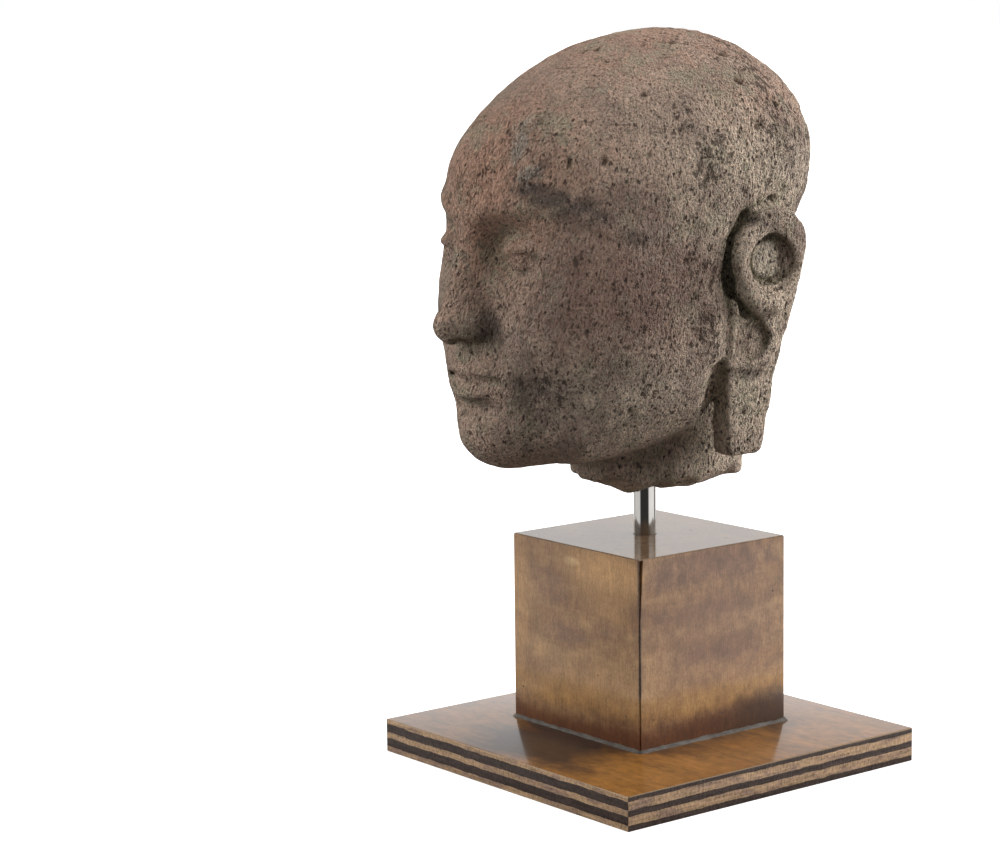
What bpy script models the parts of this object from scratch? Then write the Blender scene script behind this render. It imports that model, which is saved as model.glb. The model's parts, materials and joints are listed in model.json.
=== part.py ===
"""Carved stone head of a shaven monk, broken off at the neck, on its display stand.

A steel rod holds the head up. It stands in a square plate of plywood, runs up through a hollow box of
five mitred boards and enters a drilled hole in the neck.

Frame: metres, +Z up. The origin is the centre of the plate's underside and the face looks towards -Y,
so the head's left ear is on the +X side.
"""

import math

import bmesh
import bpy
import numpy as np
from mathutils import Matrix, Vector

# Plate
plate_side = 0.200
plate_thickness = 0.018
plate_arris = 0.0007

# Box on the plate
box_side = 0.103
box_height = 0.1015
box_board = 0.018
box_arris = 0.0004
box_across = -0.007
box_back = 0.008

# Rod
rod_diameter = 0.012
rod_across = -0.0015
rod_back = -0.001
rod_shown = 0.025
rod_in_plate = 0.012
rod_in_stone = 0.060
rod_chamfer = 0.0006
rod_sides = 32

# Gaps between touching pieces
joint_gap = 0.0003
rod_clearance = 0.0003

# Head
head_height = 0.221
head_ahead = 0.011
head_turn_deg = 6.0
head_triangles = 8600
carving_step = 0.95
settle_rounds = 3

# The carving below is in hundredths of the head's height. In the head's own axes x is its left, y its
# back and z up, with the chin's underside at z = 0, the crown at z = 100 and y = 0 halfway between the
# forehead and the back of the skull.
break_level = -10.4
carving_low = np.array((-46.0, -60.0, -16.0))
carving_high = np.array((46.0, 52.0, 104.0))


# Distance fields. Each takes points as rows and gives the distance to a form, negative inside it.


def ball(points, centre, radius):
    return np.linalg.norm(points - centre, axis=1) - radius


def turned(points, degrees):
    """The points in axes turned about the upright by this angle."""
    c, s = math.cos(math.radians(degrees)), math.sin(math.radians(degrees))
    x, y, z = points.T
    return np.stack([c * x + s * y, c * y - s * x, z], axis=1)


def leaned(points, degrees):
    """The points in axes turned about the left-to-right axis by this angle."""
    c, s = math.cos(math.radians(degrees)), math.sin(math.radians(degrees))
    x, y, z = points.T
    return np.stack([x, c * y + s * z, c * z - s * y], axis=1)


def egg(points, centre, radii):
    """An ellipsoid."""
    p = points - centre
    outer = np.linalg.norm(p / radii, axis=1)
    inner = np.linalg.norm(p / np.square(radii), axis=1)
    return outer * (outer - 1.0) / np.maximum(inner, 1e-9)


def limb(points, start, end, start_radius, end_radius):
    """A rounded bar whose radius runs evenly from one end to the other."""
    start, end = np.array(start, float), np.array(end, float)
    along = end - start
    share = np.clip((points - start) @ along / (along @ along), 0.0, 1.0)
    nearest = start + share[:, None] * along
    radius = start_radius + share * (end_radius - start_radius)
    return np.linalg.norm(points - nearest, axis=1) - radius


def strand(points, path, radii):
    """A rounded bar that follows several points."""
    pieces = [
        limb(points, a, b, ra, rb)
        for a, b, ra, rb in zip(path, path[1:], radii, radii[1:])
    ]
    return np.minimum.reduce(pieces)


def hoop(points, centre, radii, thickness, tilt):
    """An upright oval ring on the side of the head, its hole looking along x."""
    p = leaned(points - centre, tilt)
    x, y, z = p.T
    outer = np.hypot(y / radii[0], z / radii[1])
    inner = np.hypot(y / radii[0] ** 2, z / radii[1] ** 2)
    from_oval = outer * (outer - 1.0) / np.maximum(inner, 1e-9)
    return np.hypot(from_oval, x) - thickness


def melt(a, b, width):
    """The two forms together, with a soft inner corner."""
    share = np.maximum(width - np.abs(a - b), 0.0) / width
    return np.minimum(a, b) - share * share * width * 0.25


def cut(body, tool, width):
    """The body without the tool's form, with a soft edge."""
    return -melt(-body, tool, width)


def keep(body, other, width):
    """What lies in both forms, with a soft edge."""
    return -melt(-body, -other, width)


def lattice_noise(points, cell, seed):
    """Smooth noise between -1 and 1 whose lumps are about one cell across."""
    table = np.random.default_rng(seed).uniform(-1.0, 1.0, 4096)
    scaled = points / cell
    base = np.floor(scaled).astype(np.int64)
    share = scaled - base
    share = share * share * (3.0 - 2.0 * share)
    total = np.zeros(len(points))
    for corner in np.ndindex(2, 2, 2):
        at = base + corner
        key = (at[:, 0] * 73856093) ^ (at[:, 1] * 19349663) ^ (at[:, 2] * 83492791)
        weight = np.prod(np.where(corner, share, 1.0 - share), axis=1)
        total += weight * table[key & 4095]
    return total


# The head's carving


def skull(p):
    rear = egg(p, (0, 10.8, 69.0), (36.5, 34.2, 30.7))
    front = egg(p, (0, -10.0, 55.3), (34.5, 33.5, 37.0))
    forehead = egg(p, (0, -12.0, 66.0), (26.0, 31.0, 16.0))
    return melt(melt(rear, front, 14.0), forehead, 10.0)


def face_mass(p):
    middle = egg(p, (0, -12.5, 34.0), (31.0, 29.5, 35.0))
    jaw = strand(p, [(0, -32, 10.8), (13, -25, 12.2), (21.5, -5, 19.5)], [10.6, 11.8, 11.8])
    side = egg(p, (19.0, -10.0, 34.0), (15.0, 19.0, 24.0))
    cheek = egg(p, (16.0, -26.0, 32.0), (14.0, 13.8, 16.0))
    cheekbone = ball(p, (22.5, -22.0, 43.0), 9.5)
    chin = egg(p, (0, -36.5, 7.6), (10.0, 8.4, 7.6))
    mouth_mound = egg(p, (0, -33.5, 21.5), (15.0, 12.0, 12.5))
    form = melt(melt(middle, jaw, 10.0), melt(side, melt(cheek, cheekbone, 10.0), 8.0), 9.0)
    return melt(form, melt(chin, mouth_mound, 6.0), 8.0)


def brow(p):
    line = [
        (3.8, -43.6, 57.6),
        (9.5, -42.2, 60.4),
        (17.0, -38.4, 61.2),
        (25.0, -32.4, 59.0),
        (30.0, -26.0, 55.5),
    ]
    return strand(p, line, [1.3, 1.7, 1.7, 1.2, 0.3])


def nose_bridge(p):
    narrow = p * (1.22, 1.0, 1.0)
    return limb(narrow, (0, -40.4, 58.5), (0, -45.0, 35.5), 3.8, 6.4)


def nose_end(p):
    """The tip, the wings and what joins them to the lip."""
    tip = egg(p, (0, -49.2, 33.2), (4.3, 4.5, 4.2))
    wing = egg(p, (4.5, -45.0, 32.4), (3.3, 4.8, 3.4))
    root = limb(p, (0, -48.4, 31.2), (0, -43.4, 28.6), 2.6, 2.6)
    return melt(tip, melt(wing, root, 2.5), 3.0)


def eye(p):
    """Lids half closed over the eyeball, to be added once the socket is cut."""
    radii = np.array((9.6, 9.9, 6.9))
    local = turned(p - (13.4, -30.9, 49.2), 16.0)
    eyeball = egg(local, (0, 0, 0), radii)

    def margin(middle, corner, lift):
        """A line across the eyeball from corner to corner, standing a little proud of it."""
        line = []
        for share in np.linspace(-1.0, 1.0, 7):
            x, z = 8.0 * share, corner + (middle - corner) * (1.0 - share * share)
            depth = math.sqrt(1.0 - (x / radii[0]) ** 2 - (z / radii[2]) ** 2)
            line.append((x, -radii[1] * depth - lift, z))
        return line

    thickness = [0.5, 0.8, 0.95, 1.0, 0.95, 0.8, 0.5]
    upper_edge = strand(local, margin(1.6, -0.9, 0.2), thickness)
    lower_edge = strand(local, margin(-2.6, -1.1, 0.0), [0.8 * t for t in thickness])
    x, _, z = local.T
    bow = 1.0 - np.square(np.minimum(np.abs(x) / 8.2, 1.4))
    upper_lid = keep(egg(local, (0, 0, 0), radii + 0.9), -0.9 + 2.5 * bow - z, 0.8)
    lids = melt(upper_lid, melt(upper_edge, lower_edge, 0.6), 0.8)
    return melt(eyeball, lids, 0.5)


def lips(p):
    upper = strand(
        p,
        [(0, -44.8, 22.4), (3.0, -44.5, 23.2), (7.2, -42.6, 22.2), (10.4, -40.2, 20.9)],
        [2.5, 2.6, 2.0, 0.9],
    )
    lower = strand(
        p,
        [(0, -44.2, 17.4), (4.0, -43.5, 17.5), (7.4, -41.9, 18.4), (9.8, -40.4, 19.8)],
        [3.3, 3.1, 2.3, 1.0],
    )
    return melt(upper, lower, 0.8)


def mouth_line(p):
    return strand(
        p,
        [(0, -47.9, 20.3), (3.6, -47.1, 20.2), (7.2, -44.9, 20.2), (10.2, -42.4, 20.7)],
        [1.0, 1.0, 0.9, 0.6],
    )


def ear_slab(p):
    """The ear's broad upright body, from its rounded top down to the end of the long lobe."""
    x, _, z = p.T
    outline = strand(
        p * (0, 1, 1),
        [(0, 14.8, 49.4), (0, 14.2, 44.0), (0, 12.2, 31.0), (0, 11.0, 20.0), (0, 10.3, 10.0), (0, 10.3, 4.0)],
        [9.8, 9.7, 8.4, 7.0, 6.2, 5.6],
    )
    outline = keep(outline, 0.9 - z, 1.6)
    thickness = np.abs(x - (30.4 + 0.105 * (z - 5.0))) - 3.1
    rounding = 1.3
    outside = np.hypot(np.maximum(outline + rounding, 0), np.maximum(thickness + rounding, 0))
    slab = np.minimum(np.maximum(outline, thickness) + rounding, 0) + outside - rounding
    root = strand(p, [(29.5, 14.0, 52.0), (28.5, 13.0, 38.0), (27.5, 12.5, 22.0)], [7.0, 6.5, 5.5])
    return melt(slab, root, 3.5)


def ear_front(p):
    """The swelling of the cheek that runs into the ear's front."""
    places = [(29.4, -1.6, 54.0), (29.8, -0.4, 42.0), (30.0, 0.8, 33.0), (30.0, 1.8, 27.5)]
    return strand(p, places, [4.2, 4.7, 4.8, 4.4])


def ear_groove(p):
    """The hollow in front of the rim and between the lobe and the jaw."""
    along_rim = strand(
        p * (0.4, 1.0, 1.0),
        [(14.4, 8.4, 57.4), (14.0, 4.9, 51.6), (13.8, 4.5, 43.0), (14.0, 7.4, 35.4), (14.8, 12.2, 32.6)],
        [0.9, 1.3, 1.4, 1.2, 0.8],
    )
    below = strand(
        p,
        [(33.6, 2.0, 22.5), (32.6, 1.4, 17.0), (31.8, 1.4, 12.0), (31.0, 1.6, 0.0)],
        [1.2, 2.2, 3.2, 3.8],
    )
    return melt(along_rim, below, 2.0)


def ear_rim(p):
    """The thick ring round the upper hollow and the ledge over the lobe."""
    ring = hoop(p, (36.9, 13.7, 46.9), (8.0, 9.2), 2.0, 6.0)
    foot = strand(p, [(36.4, 7.2, 40.0), (36.6, 10.6, 37.0), (36.6, 15.2, 36.2)], [2.0, 2.5, 2.5])
    ledge = strand(p, [(34.4, 4.6, 23.0), (35.0, 9.5, 22.4), (34.8, 14.4, 23.6)], [1.4, 1.8, 1.4])
    return np.minimum(melt(ring, foot, 1.6), ledge)


def ear_hollows(p):
    """The flat-floored oval inside the ring, the hollow over the ledge and the broken line under it."""
    x, y, z = p.T
    inner = (np.hypot((y - 14.3) / 5.9, (z - 46.8) / 5.8) - 1.0) * 5.8
    floor = 35.8 + 0.7 * np.maximum(y - 17.6, 0.0)
    middle = (np.hypot((y - 10.2) / 4.8, (z - 28.6) / 4.4) - 1.0) * 4.4
    under = strand(p, [(36.0, 4.8, 19.4), (36.5, 9.5, 18.8), (36.2, 14.0, 20.0)], [1.3, 1.6, 1.2])
    upper = keep(inner, floor - x, 0.6)
    return np.minimum(np.minimum(upper, keep(middle, 34.3 - x, 0.8)), under)


def neck(p):
    x, y, z = p.T
    middle = 8.5 + 0.1 * np.maximum(z + 4.0, 0.0)
    return (np.hypot(x / 22.0, (y - middle) / 20.5) - 1.0) * 20.5


def break_surface(p):
    """Signed height over the broken underside of the neck."""
    x, y, z = p.T
    level = break_level + 0.010 * (x * x + np.square(y - 7.0))
    level += 1.3 * lattice_noise(p * (1, 1, 0), 8.0, 11)
    level += 0.7 * lattice_noise(p * (1, 1, 0), 3.2, 12)
    return z - level


def chips(points):
    """Pieces knocked off the left ear's lobe and rim, and off the edge of the neck."""
    lobe_end = ball(points, (36.5, 15.6, -1.4), 4.0)
    rim_top = ball(points, (39.8, 8.6, 56.8), 1.9)
    neck_edge = ball(points, (9.0, -13.5, -9.0), 4.5)
    nape_edge = ball(points, (-14.0, 26.5, -8.0), 5.0)
    return np.minimum(np.minimum(lobe_end, rim_top), np.minimum(neck_edge, nape_edge))


def head_field(points):
    """Distance from points in the head's axes to its carved surface."""
    p = points * 1.0
    p[:, 0] = np.abs(p[:, 0])
    form = melt(skull(p), face_mass(p), 9.0)
    form = melt(form, brow(p), 3.5)
    form = cut(form, egg(p, (13.4, -44.5, 50.2), (9.8, 7.6, 6.4)), 3.5)
    form = melt(form, eye(p), 0.9)
    form = melt(form, nose_bridge(p), 5.0)
    form = melt(form, nose_end(p), 1.8)
    form = cut(form, egg(p, (2.7, -47.4, 28.9), (1.5, 2.5, 1.6)), 1.0)
    form = cut(form, limb(p, (0, -46.6, 27.6), (0, -46.9, 25.6), 1.2, 1.2), 1.2)
    form = melt(form, lips(p), 1.6)
    form = cut(form, mouth_line(p), 0.9)
    form = cut(form, strand(p, [(0, -46.4, 12.8), (7.0, -44.2, 13.6)], [1.6, 1.3]), 2.5)
    stub = keep(neck(p), -break_surface(points), 1.2)
    stub = keep(stub, p[:, 2] - 54.0, 2.0)
    form = melt(form, stub, np.clip(3.0 + 0.3 * (p[:, 1] - 8.0), 3.0, 9.0))
    form = melt(form, ear_front(p), 6.0)
    form = melt(form, ear_slab(p), 1.4)
    form = cut(form, ear_groove(p), 1.2)
    form = melt(form, ear_rim(p), 1.0)
    form = cut(form, ear_hollows(p), 0.8)
    form = cut(form, chips(points), 0.8)
    unevenness = 0.30 * lattice_noise(points, 11.0, 1) + 0.16 * lattice_noise(points, 4.5, 2)
    return form + unevenness


def fill_pinches(values, filled):
    """Sets outside grid values to `filled` where two surfaces would share an edge or a point."""
    for _ in range(6):
        inside = values < 0.0
        found = False
        for axis in range(3):
            u, v = [k for k in range(3) if k != axis]
            corners = {}
            for shift in np.ndindex(2, 2):
                window = [slice(None)] * 3
                window[u] = slice(shift[0], values.shape[u] - 1 + shift[0])
                window[v] = slice(shift[1], values.shape[v] - 1 + shift[1])
                corners[shift] = tuple(window)
            straight = inside[corners[0, 0]] & inside[corners[1, 1]]
            crossed = inside[corners[1, 0]] & inside[corners[0, 1]]
            pinched = (straight & ~inside[corners[1, 0]] & ~inside[corners[0, 1]]) | (
                crossed & ~inside[corners[0, 0]] & ~inside[corners[1, 1]]
            )
            found |= bool(pinched.any())
            for window in corners.values():
                part = values[window]
                part[pinched & (part >= 0.0)] = filled
        inside = values < 0.0
        eight = {
            shift: tuple(slice(k, n - 1 + k) for k, n in zip(shift, values.shape))
            for shift in np.ndindex(2, 2, 2)
        }
        count = sum(inside[window].astype(int) for window in eight.values())
        for shift, window in eight.items():
            opposite = eight[tuple(1 - k for k in shift)]
            alone = inside[window] & inside[opposite] & (count == 2)
            apart = ~inside[window] & ~inside[opposite] & (count == 6)
            for cells, target in ((alone, window), (apart, window)):
                found |= bool(cells.any())
                part = values[target]
                part[cells] = -filled if cells is alone else filled
        if not found:
            return


def surface_net(field, low, high, step):
    """Points and quads of the surface where the field is zero, one point in each cell it crosses."""
    counts = [int(math.ceil((b - a) / step)) + 1 for a, b in zip(low, high)]
    axes = [a + step * np.arange(n) for a, n in zip(low, counts)]
    grid = np.stack(np.meshgrid(*axes, indexing="ij"), axis=-1).reshape(-1, 3)
    values = np.concatenate([field(part) for part in np.array_split(grid, 64)])
    values = values.reshape(counts)
    fill_pinches(values, -0.05 * step)
    inside = values < 0.0
    cells = tuple(n - 1 for n in counts)
    total = np.zeros(cells + (3,))
    crossings = np.zeros(cells)
    for axis in range(3):
        first = [slice(None)] * 3
        second = [slice(None)] * 3
        first[axis], second[axis] = slice(None, -1), slice(1, None)
        a, b = values[tuple(first)], values[tuple(second)]
        crossed = (a < 0.0) != (b < 0.0)
        share = np.where(crossed, a / np.where(crossed, a - b, 1.0), 0.0)
        others = [k for k in range(3) if k != axis]
        for shift in np.ndindex(2, 2):
            window = [slice(None)] * 3
            for other, move in zip(others, shift):
                window[other] = slice(move, move + cells[other])
            hit = crossed[tuple(window)]
            crossings += hit
            total[..., axis] += hit * share[tuple(window)]
            for other, move in zip(others, shift):
                total[..., other] += hit * move
    used = crossings > 0
    number = np.full(cells, -1)
    number[used] = np.arange(used.sum())
    corner = np.argwhere(used)
    points = low + step * (corner + total[used] / crossings[used][:, None])
    quads = []
    for axis in range(3):
        u, v = [(1, 2), (2, 0), (0, 1)][axis]
        first = [slice(1, -1)] * 3
        first[axis] = slice(None, -1)
        second = list(first)
        second[axis] = slice(1, None)
        a, b = inside[tuple(first)], inside[tuple(second)]
        for starts_inside, wound in ((True, 1), (False, -1)):
            edge = np.argwhere((a != b) & (a == starts_inside))
            edge[:, u] += 1
            edge[:, v] += 1
            ring = []
            for du, dv in ((0, 0), (-1, 0), (-1, -1), (0, -1))[::wound]:
                cell = edge.copy()
                cell[:, u] += du
                cell[:, v] += dv
                ring.append(number[tuple(cell.T)])
            quads.append(np.stack(ring, axis=1))
    return points, np.concatenate(quads)


def settle(field, points, rounds=3):
    """The points moved along the field's slope onto its zero surface."""
    reach = 0.05
    for _ in range(rounds):
        slope = np.stack(
            [
                field(points + reach * side) - field(points - reach * side)
                for side in np.eye(3)
            ],
            axis=1,
        ) / (2.0 * reach)
        length = np.maximum(np.linalg.norm(slope, axis=1, keepdims=True), 0.4)
        move = field(points)[:, None] * slope / np.square(length)
        points = points - np.clip(move, -0.6, 0.6)
    return points


# Blender objects


def clear_scene():
    for thing in list(bpy.data.objects):
        bpy.data.objects.remove(thing, do_unlink=True)


def finish_of(name, colour, roughness, metallic=0.0):
    material = bpy.data.materials.new(name)
    material.use_nodes = True
    shader = material.node_tree.nodes["Principled BSDF"]
    shader.inputs["Base Color"].default_value = (*colour, 1.0)
    shader.inputs["Roughness"].default_value = roughness
    shader.inputs["Metallic"].default_value = metallic
    return material


def new_object(name, mesh, material=None):
    thing = bpy.data.objects.new(name, mesh)
    bpy.context.scene.collection.objects.link(thing)
    if material:
        mesh.materials.append(material)
    return thing


def solid(name, corners, faces, material, bevel=0.0):
    """A closed mesh from corner points and faces, facing out, with its outer edges rounded."""
    mesh = bpy.data.meshes.new(name)
    mesh.from_pydata(corners, [], faces)
    shape = bmesh.new()
    shape.from_mesh(mesh)
    bmesh.ops.recalc_face_normals(shape, faces=shape.faces)
    if bevel:
        bmesh.ops.bevel(
            shape, geom=shape.edges[:], offset=bevel, segments=1, affect="EDGES"
        )
    shape.to_mesh(mesh)
    shape.free()
    return new_object(name, mesh, material)


def rod_cutter(name, low, high):
    """A cylinder wider than the rod by the clearance all round, used to cut its holes."""
    mesh = bpy.data.meshes.new(name)
    shape = bmesh.new()
    bmesh.ops.create_cone(
        shape,
        cap_ends=True,
        segments=rod_sides,
        radius1=rod_diameter / 2 + rod_clearance,
        radius2=rod_diameter / 2 + rod_clearance,
        depth=high - low,
    )
    shape.to_mesh(mesh)
    shape.free()
    cutter = new_object(name, mesh)
    cutter.location = (*rod_place(), (low + high) / 2)
    cutter.hide_render = True
    cutter.display_type = "WIRE"
    return cutter


def cut_hole(thing, cutter):
    hole = thing.modifiers.new("rod_hole", "BOOLEAN")
    hole.operation = "DIFFERENCE"
    hole.solver = "EXACT"
    hole.object = cutter


# Corners 0 to 3 go round the bottom and 4 to 7 round the top, in the same order.
SLAB_FACES = [(0, 3, 2, 1), (4, 5, 6, 7), (0, 1, 5, 4), (1, 2, 6, 5), (2, 3, 7, 6), (3, 0, 4, 7)]


# Places that follow from the sizes


def rod_place():
    return box_across + rod_across, box_back + rod_back


def box_top():
    return plate_thickness + box_height


def chin_level():
    return box_top() + rod_shown - break_level * head_height / 100.0


def box_half_widths():
    """Half the length of a box board's outer and inner face, each mitre standing back half a gap."""
    mitre_gap = joint_gap / math.sqrt(2.0)
    return box_side / 2 - mitre_gap, box_side / 2 - box_board - mitre_gap


def head_frame():
    """From the head's axes to the row frame."""
    turn = Matrix.Rotation(-math.radians(head_turn_deg), 4, "Z")
    across, back = rod_place()
    ahead = turn @ Vector((0.0, -head_ahead, 0.0))
    place = Matrix.Translation((across + ahead.x, back + ahead.y, chin_level()))
    return place @ turn @ Matrix.Scale(head_height / 100.0, 4)


# Pieces


def square_slab(name, centre, low, high, low_half, high_half, bevel, material):
    """A square slab between two levels, whose half width may differ from its bottom to its top."""
    corners = [
        (centre[0] + half * x, centre[1] + half * y, level)
        for level, half in ((low, low_half), (high, high_half))
        for x, y in ((-1, -1), (1, -1), (1, 1), (-1, 1))
    ]
    return solid(name, corners, SLAB_FACES, material, bevel)


def base_plate(wood):
    half = plate_side / 2
    plate = square_slab("base_plate", (0, 0), 0.0, plate_thickness, half, half, plate_arris, wood)
    floor = plate_thickness - rod_in_plate - joint_gap
    cut_hole(plate, rod_cutter("plate_hole_cutter", floor, box_top()))


def box_side_board(name, quarter_turns, wood):
    """One upright board, mitred at both ends and along its top, turned to its side of the box."""
    half = box_side / 2
    outer, inner = box_half_widths()
    mitre_gap = half - outer
    foot = plate_thickness + joint_gap
    outer_top = box_top() - mitre_gap
    corners = [
        (across, along - half, level)
        for levels in ((foot, foot), (outer_top, outer_top - box_board))
        for across, along, level in (
            (-outer, 0.0, levels[0]),
            (outer, 0.0, levels[0]),
            (inner, box_board, levels[1]),
            (-inner, box_board, levels[1]),
        )
    ]
    board = solid(name, corners, SLAB_FACES, wood, box_arris)
    board.location = (box_across, box_back, 0.0)
    board.rotation_euler.z = quarter_turns * math.pi / 2


def box_top_board(wood):
    outer, inner = box_half_widths()
    centre = (box_across, box_back)
    underside = box_top() - box_board
    board = square_slab("box_top", centre, underside, box_top(), inner, outer, box_arris, wood)
    cut_hole(board, rod_cutter("box_hole_cutter", underside - box_board, box_top() + box_board))


def mount_rod(steel):
    low = plate_thickness - rod_in_plate
    high = box_top() + rod_shown + rod_in_stone
    mesh = bpy.data.meshes.new("mount_rod")
    shape = bmesh.new()
    bmesh.ops.create_cone(
        shape,
        cap_ends=True,
        segments=rod_sides,
        radius1=rod_diameter / 2,
        radius2=rod_diameter / 2,
        depth=high - low,
    )
    rims = [edge for edge in shape.edges if abs(edge.verts[0].co.z - edge.verts[1].co.z) < 1e-6]
    bmesh.ops.bevel(shape, geom=rims, offset=rod_chamfer, segments=1, affect="EDGES")
    shape.to_mesh(mesh)
    shape.free()
    mesh.shade_smooth()
    mesh.set_sharp_from_angle(angle=math.radians(30.0))
    rod = new_object("mount_rod", mesh, steel)
    rod.location = (*rod_place(), (low + high) / 2)


def stone_head(stone):
    points, quads = surface_net(head_field, carving_low, carving_high, carving_step)
    points = settle(head_field, points, settle_rounds)
    frame = np.array(head_frame())
    points = points @ frame[:3, :3].T + frame[:3, 3]
    mesh = bpy.data.meshes.new("stone_head")
    mesh.from_pydata(points.tolist(), [], quads.tolist())
    mesh.shade_smooth()
    head = new_object("stone_head", mesh, stone)
    thin = head.modifiers.new("fewer_faces", "DECIMATE")
    thin.ratio = head_triangles / (2 * len(quads))
    end = box_top() + rod_shown + rod_in_stone + joint_gap
    cut_hole(head, rod_cutter("stone_hole_cutter", box_top(), end))


def main():
    clear_scene()
    stone = finish_of("porous_stone", (0.16, 0.11, 0.09), 0.9)
    steel = finish_of("polished_steel", (0.55, 0.53, 0.50), 0.18, 1.0)
    box_wood = finish_of("stained_box_wood", (0.22, 0.13, 0.07), 0.3)
    plate_wood = finish_of("varnished_plywood", (0.27, 0.13, 0.05), 0.25)
    base_plate(plate_wood)
    for quarter_turns, side in enumerate(("front", "right", "back", "left")):
        box_side_board("box_" + side, quarter_turns, box_wood)
    box_top_board(box_wood)
    mount_rod(steel)
    stone_head(stone)


if __name__ == "__main__":
    main()
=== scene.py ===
import json
import logging
import math
from dataclasses import dataclass
from enum import Enum
from typing import Callable, Iterator, Sequence

import bmesh
import bpy
import numpy as np
from mathutils import Matrix, Vector

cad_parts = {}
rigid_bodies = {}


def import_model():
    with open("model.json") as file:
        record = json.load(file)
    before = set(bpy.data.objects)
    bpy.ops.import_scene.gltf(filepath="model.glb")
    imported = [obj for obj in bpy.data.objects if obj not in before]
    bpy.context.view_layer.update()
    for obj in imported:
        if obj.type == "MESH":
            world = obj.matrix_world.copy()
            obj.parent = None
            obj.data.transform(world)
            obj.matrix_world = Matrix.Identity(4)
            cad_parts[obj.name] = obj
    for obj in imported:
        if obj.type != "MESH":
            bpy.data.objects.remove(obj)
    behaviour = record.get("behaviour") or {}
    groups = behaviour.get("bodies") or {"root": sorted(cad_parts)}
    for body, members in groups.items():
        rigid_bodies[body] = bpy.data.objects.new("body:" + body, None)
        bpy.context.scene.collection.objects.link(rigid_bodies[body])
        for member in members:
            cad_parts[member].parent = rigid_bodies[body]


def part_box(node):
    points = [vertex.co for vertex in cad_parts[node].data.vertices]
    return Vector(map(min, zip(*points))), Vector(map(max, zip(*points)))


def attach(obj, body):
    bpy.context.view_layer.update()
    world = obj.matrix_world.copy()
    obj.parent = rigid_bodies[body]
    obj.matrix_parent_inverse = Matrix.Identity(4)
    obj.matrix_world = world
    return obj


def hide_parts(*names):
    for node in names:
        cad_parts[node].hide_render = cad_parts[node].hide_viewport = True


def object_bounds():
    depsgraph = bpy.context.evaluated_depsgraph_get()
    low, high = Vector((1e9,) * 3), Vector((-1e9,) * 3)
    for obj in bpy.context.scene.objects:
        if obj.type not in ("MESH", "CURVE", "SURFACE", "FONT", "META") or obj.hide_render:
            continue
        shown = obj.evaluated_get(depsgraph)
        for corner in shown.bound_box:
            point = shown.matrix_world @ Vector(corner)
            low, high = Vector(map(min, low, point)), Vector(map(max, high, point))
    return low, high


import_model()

"""Dresses the carved stone head and its stand: the carving with its pores and stains, the polished rod,
the stained box of mitred boards with its brads and foot bead, and the varnished plywood plate.

Everything is in metres in the frame of the solids: +Z is up, the origin is the middle of the plate's
underside and the face looks towards -Y, turned a little to the head's right.
"""

log = logging.getLogger("carved_head")
CAD_LOW, CAD_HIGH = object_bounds()
ROOT = "root"

RIGHT, AHEAD, UP = Vector((1, 0, 0)), Vector((0, -1, 0)), Vector((0, 0, 1))
CLEARANCE = 0.0003  # gap round the rod
OVERCUT = 0.001  # how far a drill runs past the faces that it opens
TOUCHING = 1e-6  # levels that differ by less are the same

Array = np.ndarray
Colour = tuple[float, float, float]
Scale = tuple[float, float, float]
Field = Callable[[Array], Array]


class Slot(Enum):
    """The record's material slots."""

    STONE = "porous_stone"
    STEEL = "polished_steel"
    BOX = "stained_box_wood"
    PLATE = "varnished_plywood"


# Distance forms. Each takes points as rows and gives how far they lie outside a form, negative inside.


def turned(points: Array, degrees: float) -> Array:
    """The points in axes turned about the upright by this angle."""
    c, s = math.cos(math.radians(degrees)), math.sin(math.radians(degrees))
    x, y, z = points.T
    return np.stack([c * x + s * y, c * y - s * x, z], axis=1)


def leaned(points: Array, degrees: float) -> Array:
    """The points in axes turned about the left-to-right axis by this angle."""
    c, s = math.cos(math.radians(degrees)), math.sin(math.radians(degrees))
    x, y, z = points.T
    return np.stack([x, c * y + s * z, c * z - s * y], axis=1)


def ball(points: Array, centre: Sequence[float], radius: float) -> Array:
    """A sphere."""
    return np.linalg.norm(points - centre, axis=1) - radius


def egg(points: Array, centre: Sequence[float], radii: Sequence[float]) -> Array:
    """An ellipsoid."""
    p = points - centre
    outer = np.linalg.norm(p / radii, axis=1)
    inner = np.linalg.norm(p / np.square(radii), axis=1)
    return outer * (outer - 1.0) / np.maximum(inner, 1e-9)


def limb(
    points: Array, start: Sequence[float], end: Sequence[float], start_radius: float, end_radius: float
) -> Array:
    """A rounded bar whose radius runs evenly from one end to the other."""
    low, high = np.array(start, float), np.array(end, float)
    along = high - low
    share = np.clip((points - low) @ along / (along @ along), 0.0, 1.0)
    radius = start_radius + share * (end_radius - start_radius)
    return np.linalg.norm(points - (low + share[:, None] * along), axis=1) - radius


def strand(points: Array, path: Sequence[Sequence[float]], radii: Sequence[float]) -> Array:
    """A rounded bar that follows several points."""
    spans = zip(path, path[1:], radii, radii[1:])
    return np.minimum.reduce([limb(points, a, b, ra, rb) for a, b, ra, rb in spans])


def hoop(
    points: Array, centre: Sequence[float], radii: Sequence[float], thickness: float, tilt: float
) -> Array:
    """An upright oval ring on the side of the head, its hole looking along x."""
    x, y, z = leaned(points - centre, tilt).T
    outer = np.hypot(y / radii[0], z / radii[1])
    inner = np.hypot(y / radii[0] ** 2, z / radii[1] ** 2)
    from_oval = outer * (outer - 1.0) / np.maximum(inner, 1e-9)
    return np.hypot(from_oval, x) - thickness


def melt(a: Array, b: Array, width: float | Array) -> Array:
    """The two forms together, with a soft inner corner."""
    share = np.maximum(width - np.abs(a - b), 0.0) / width
    return np.minimum(a, b) - share * share * width * 0.25


def cut(body: Array, tool: Array, width: float) -> Array:
    """The body without the tool's form, with a soft edge."""
    return -melt(-body, tool, width)


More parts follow.
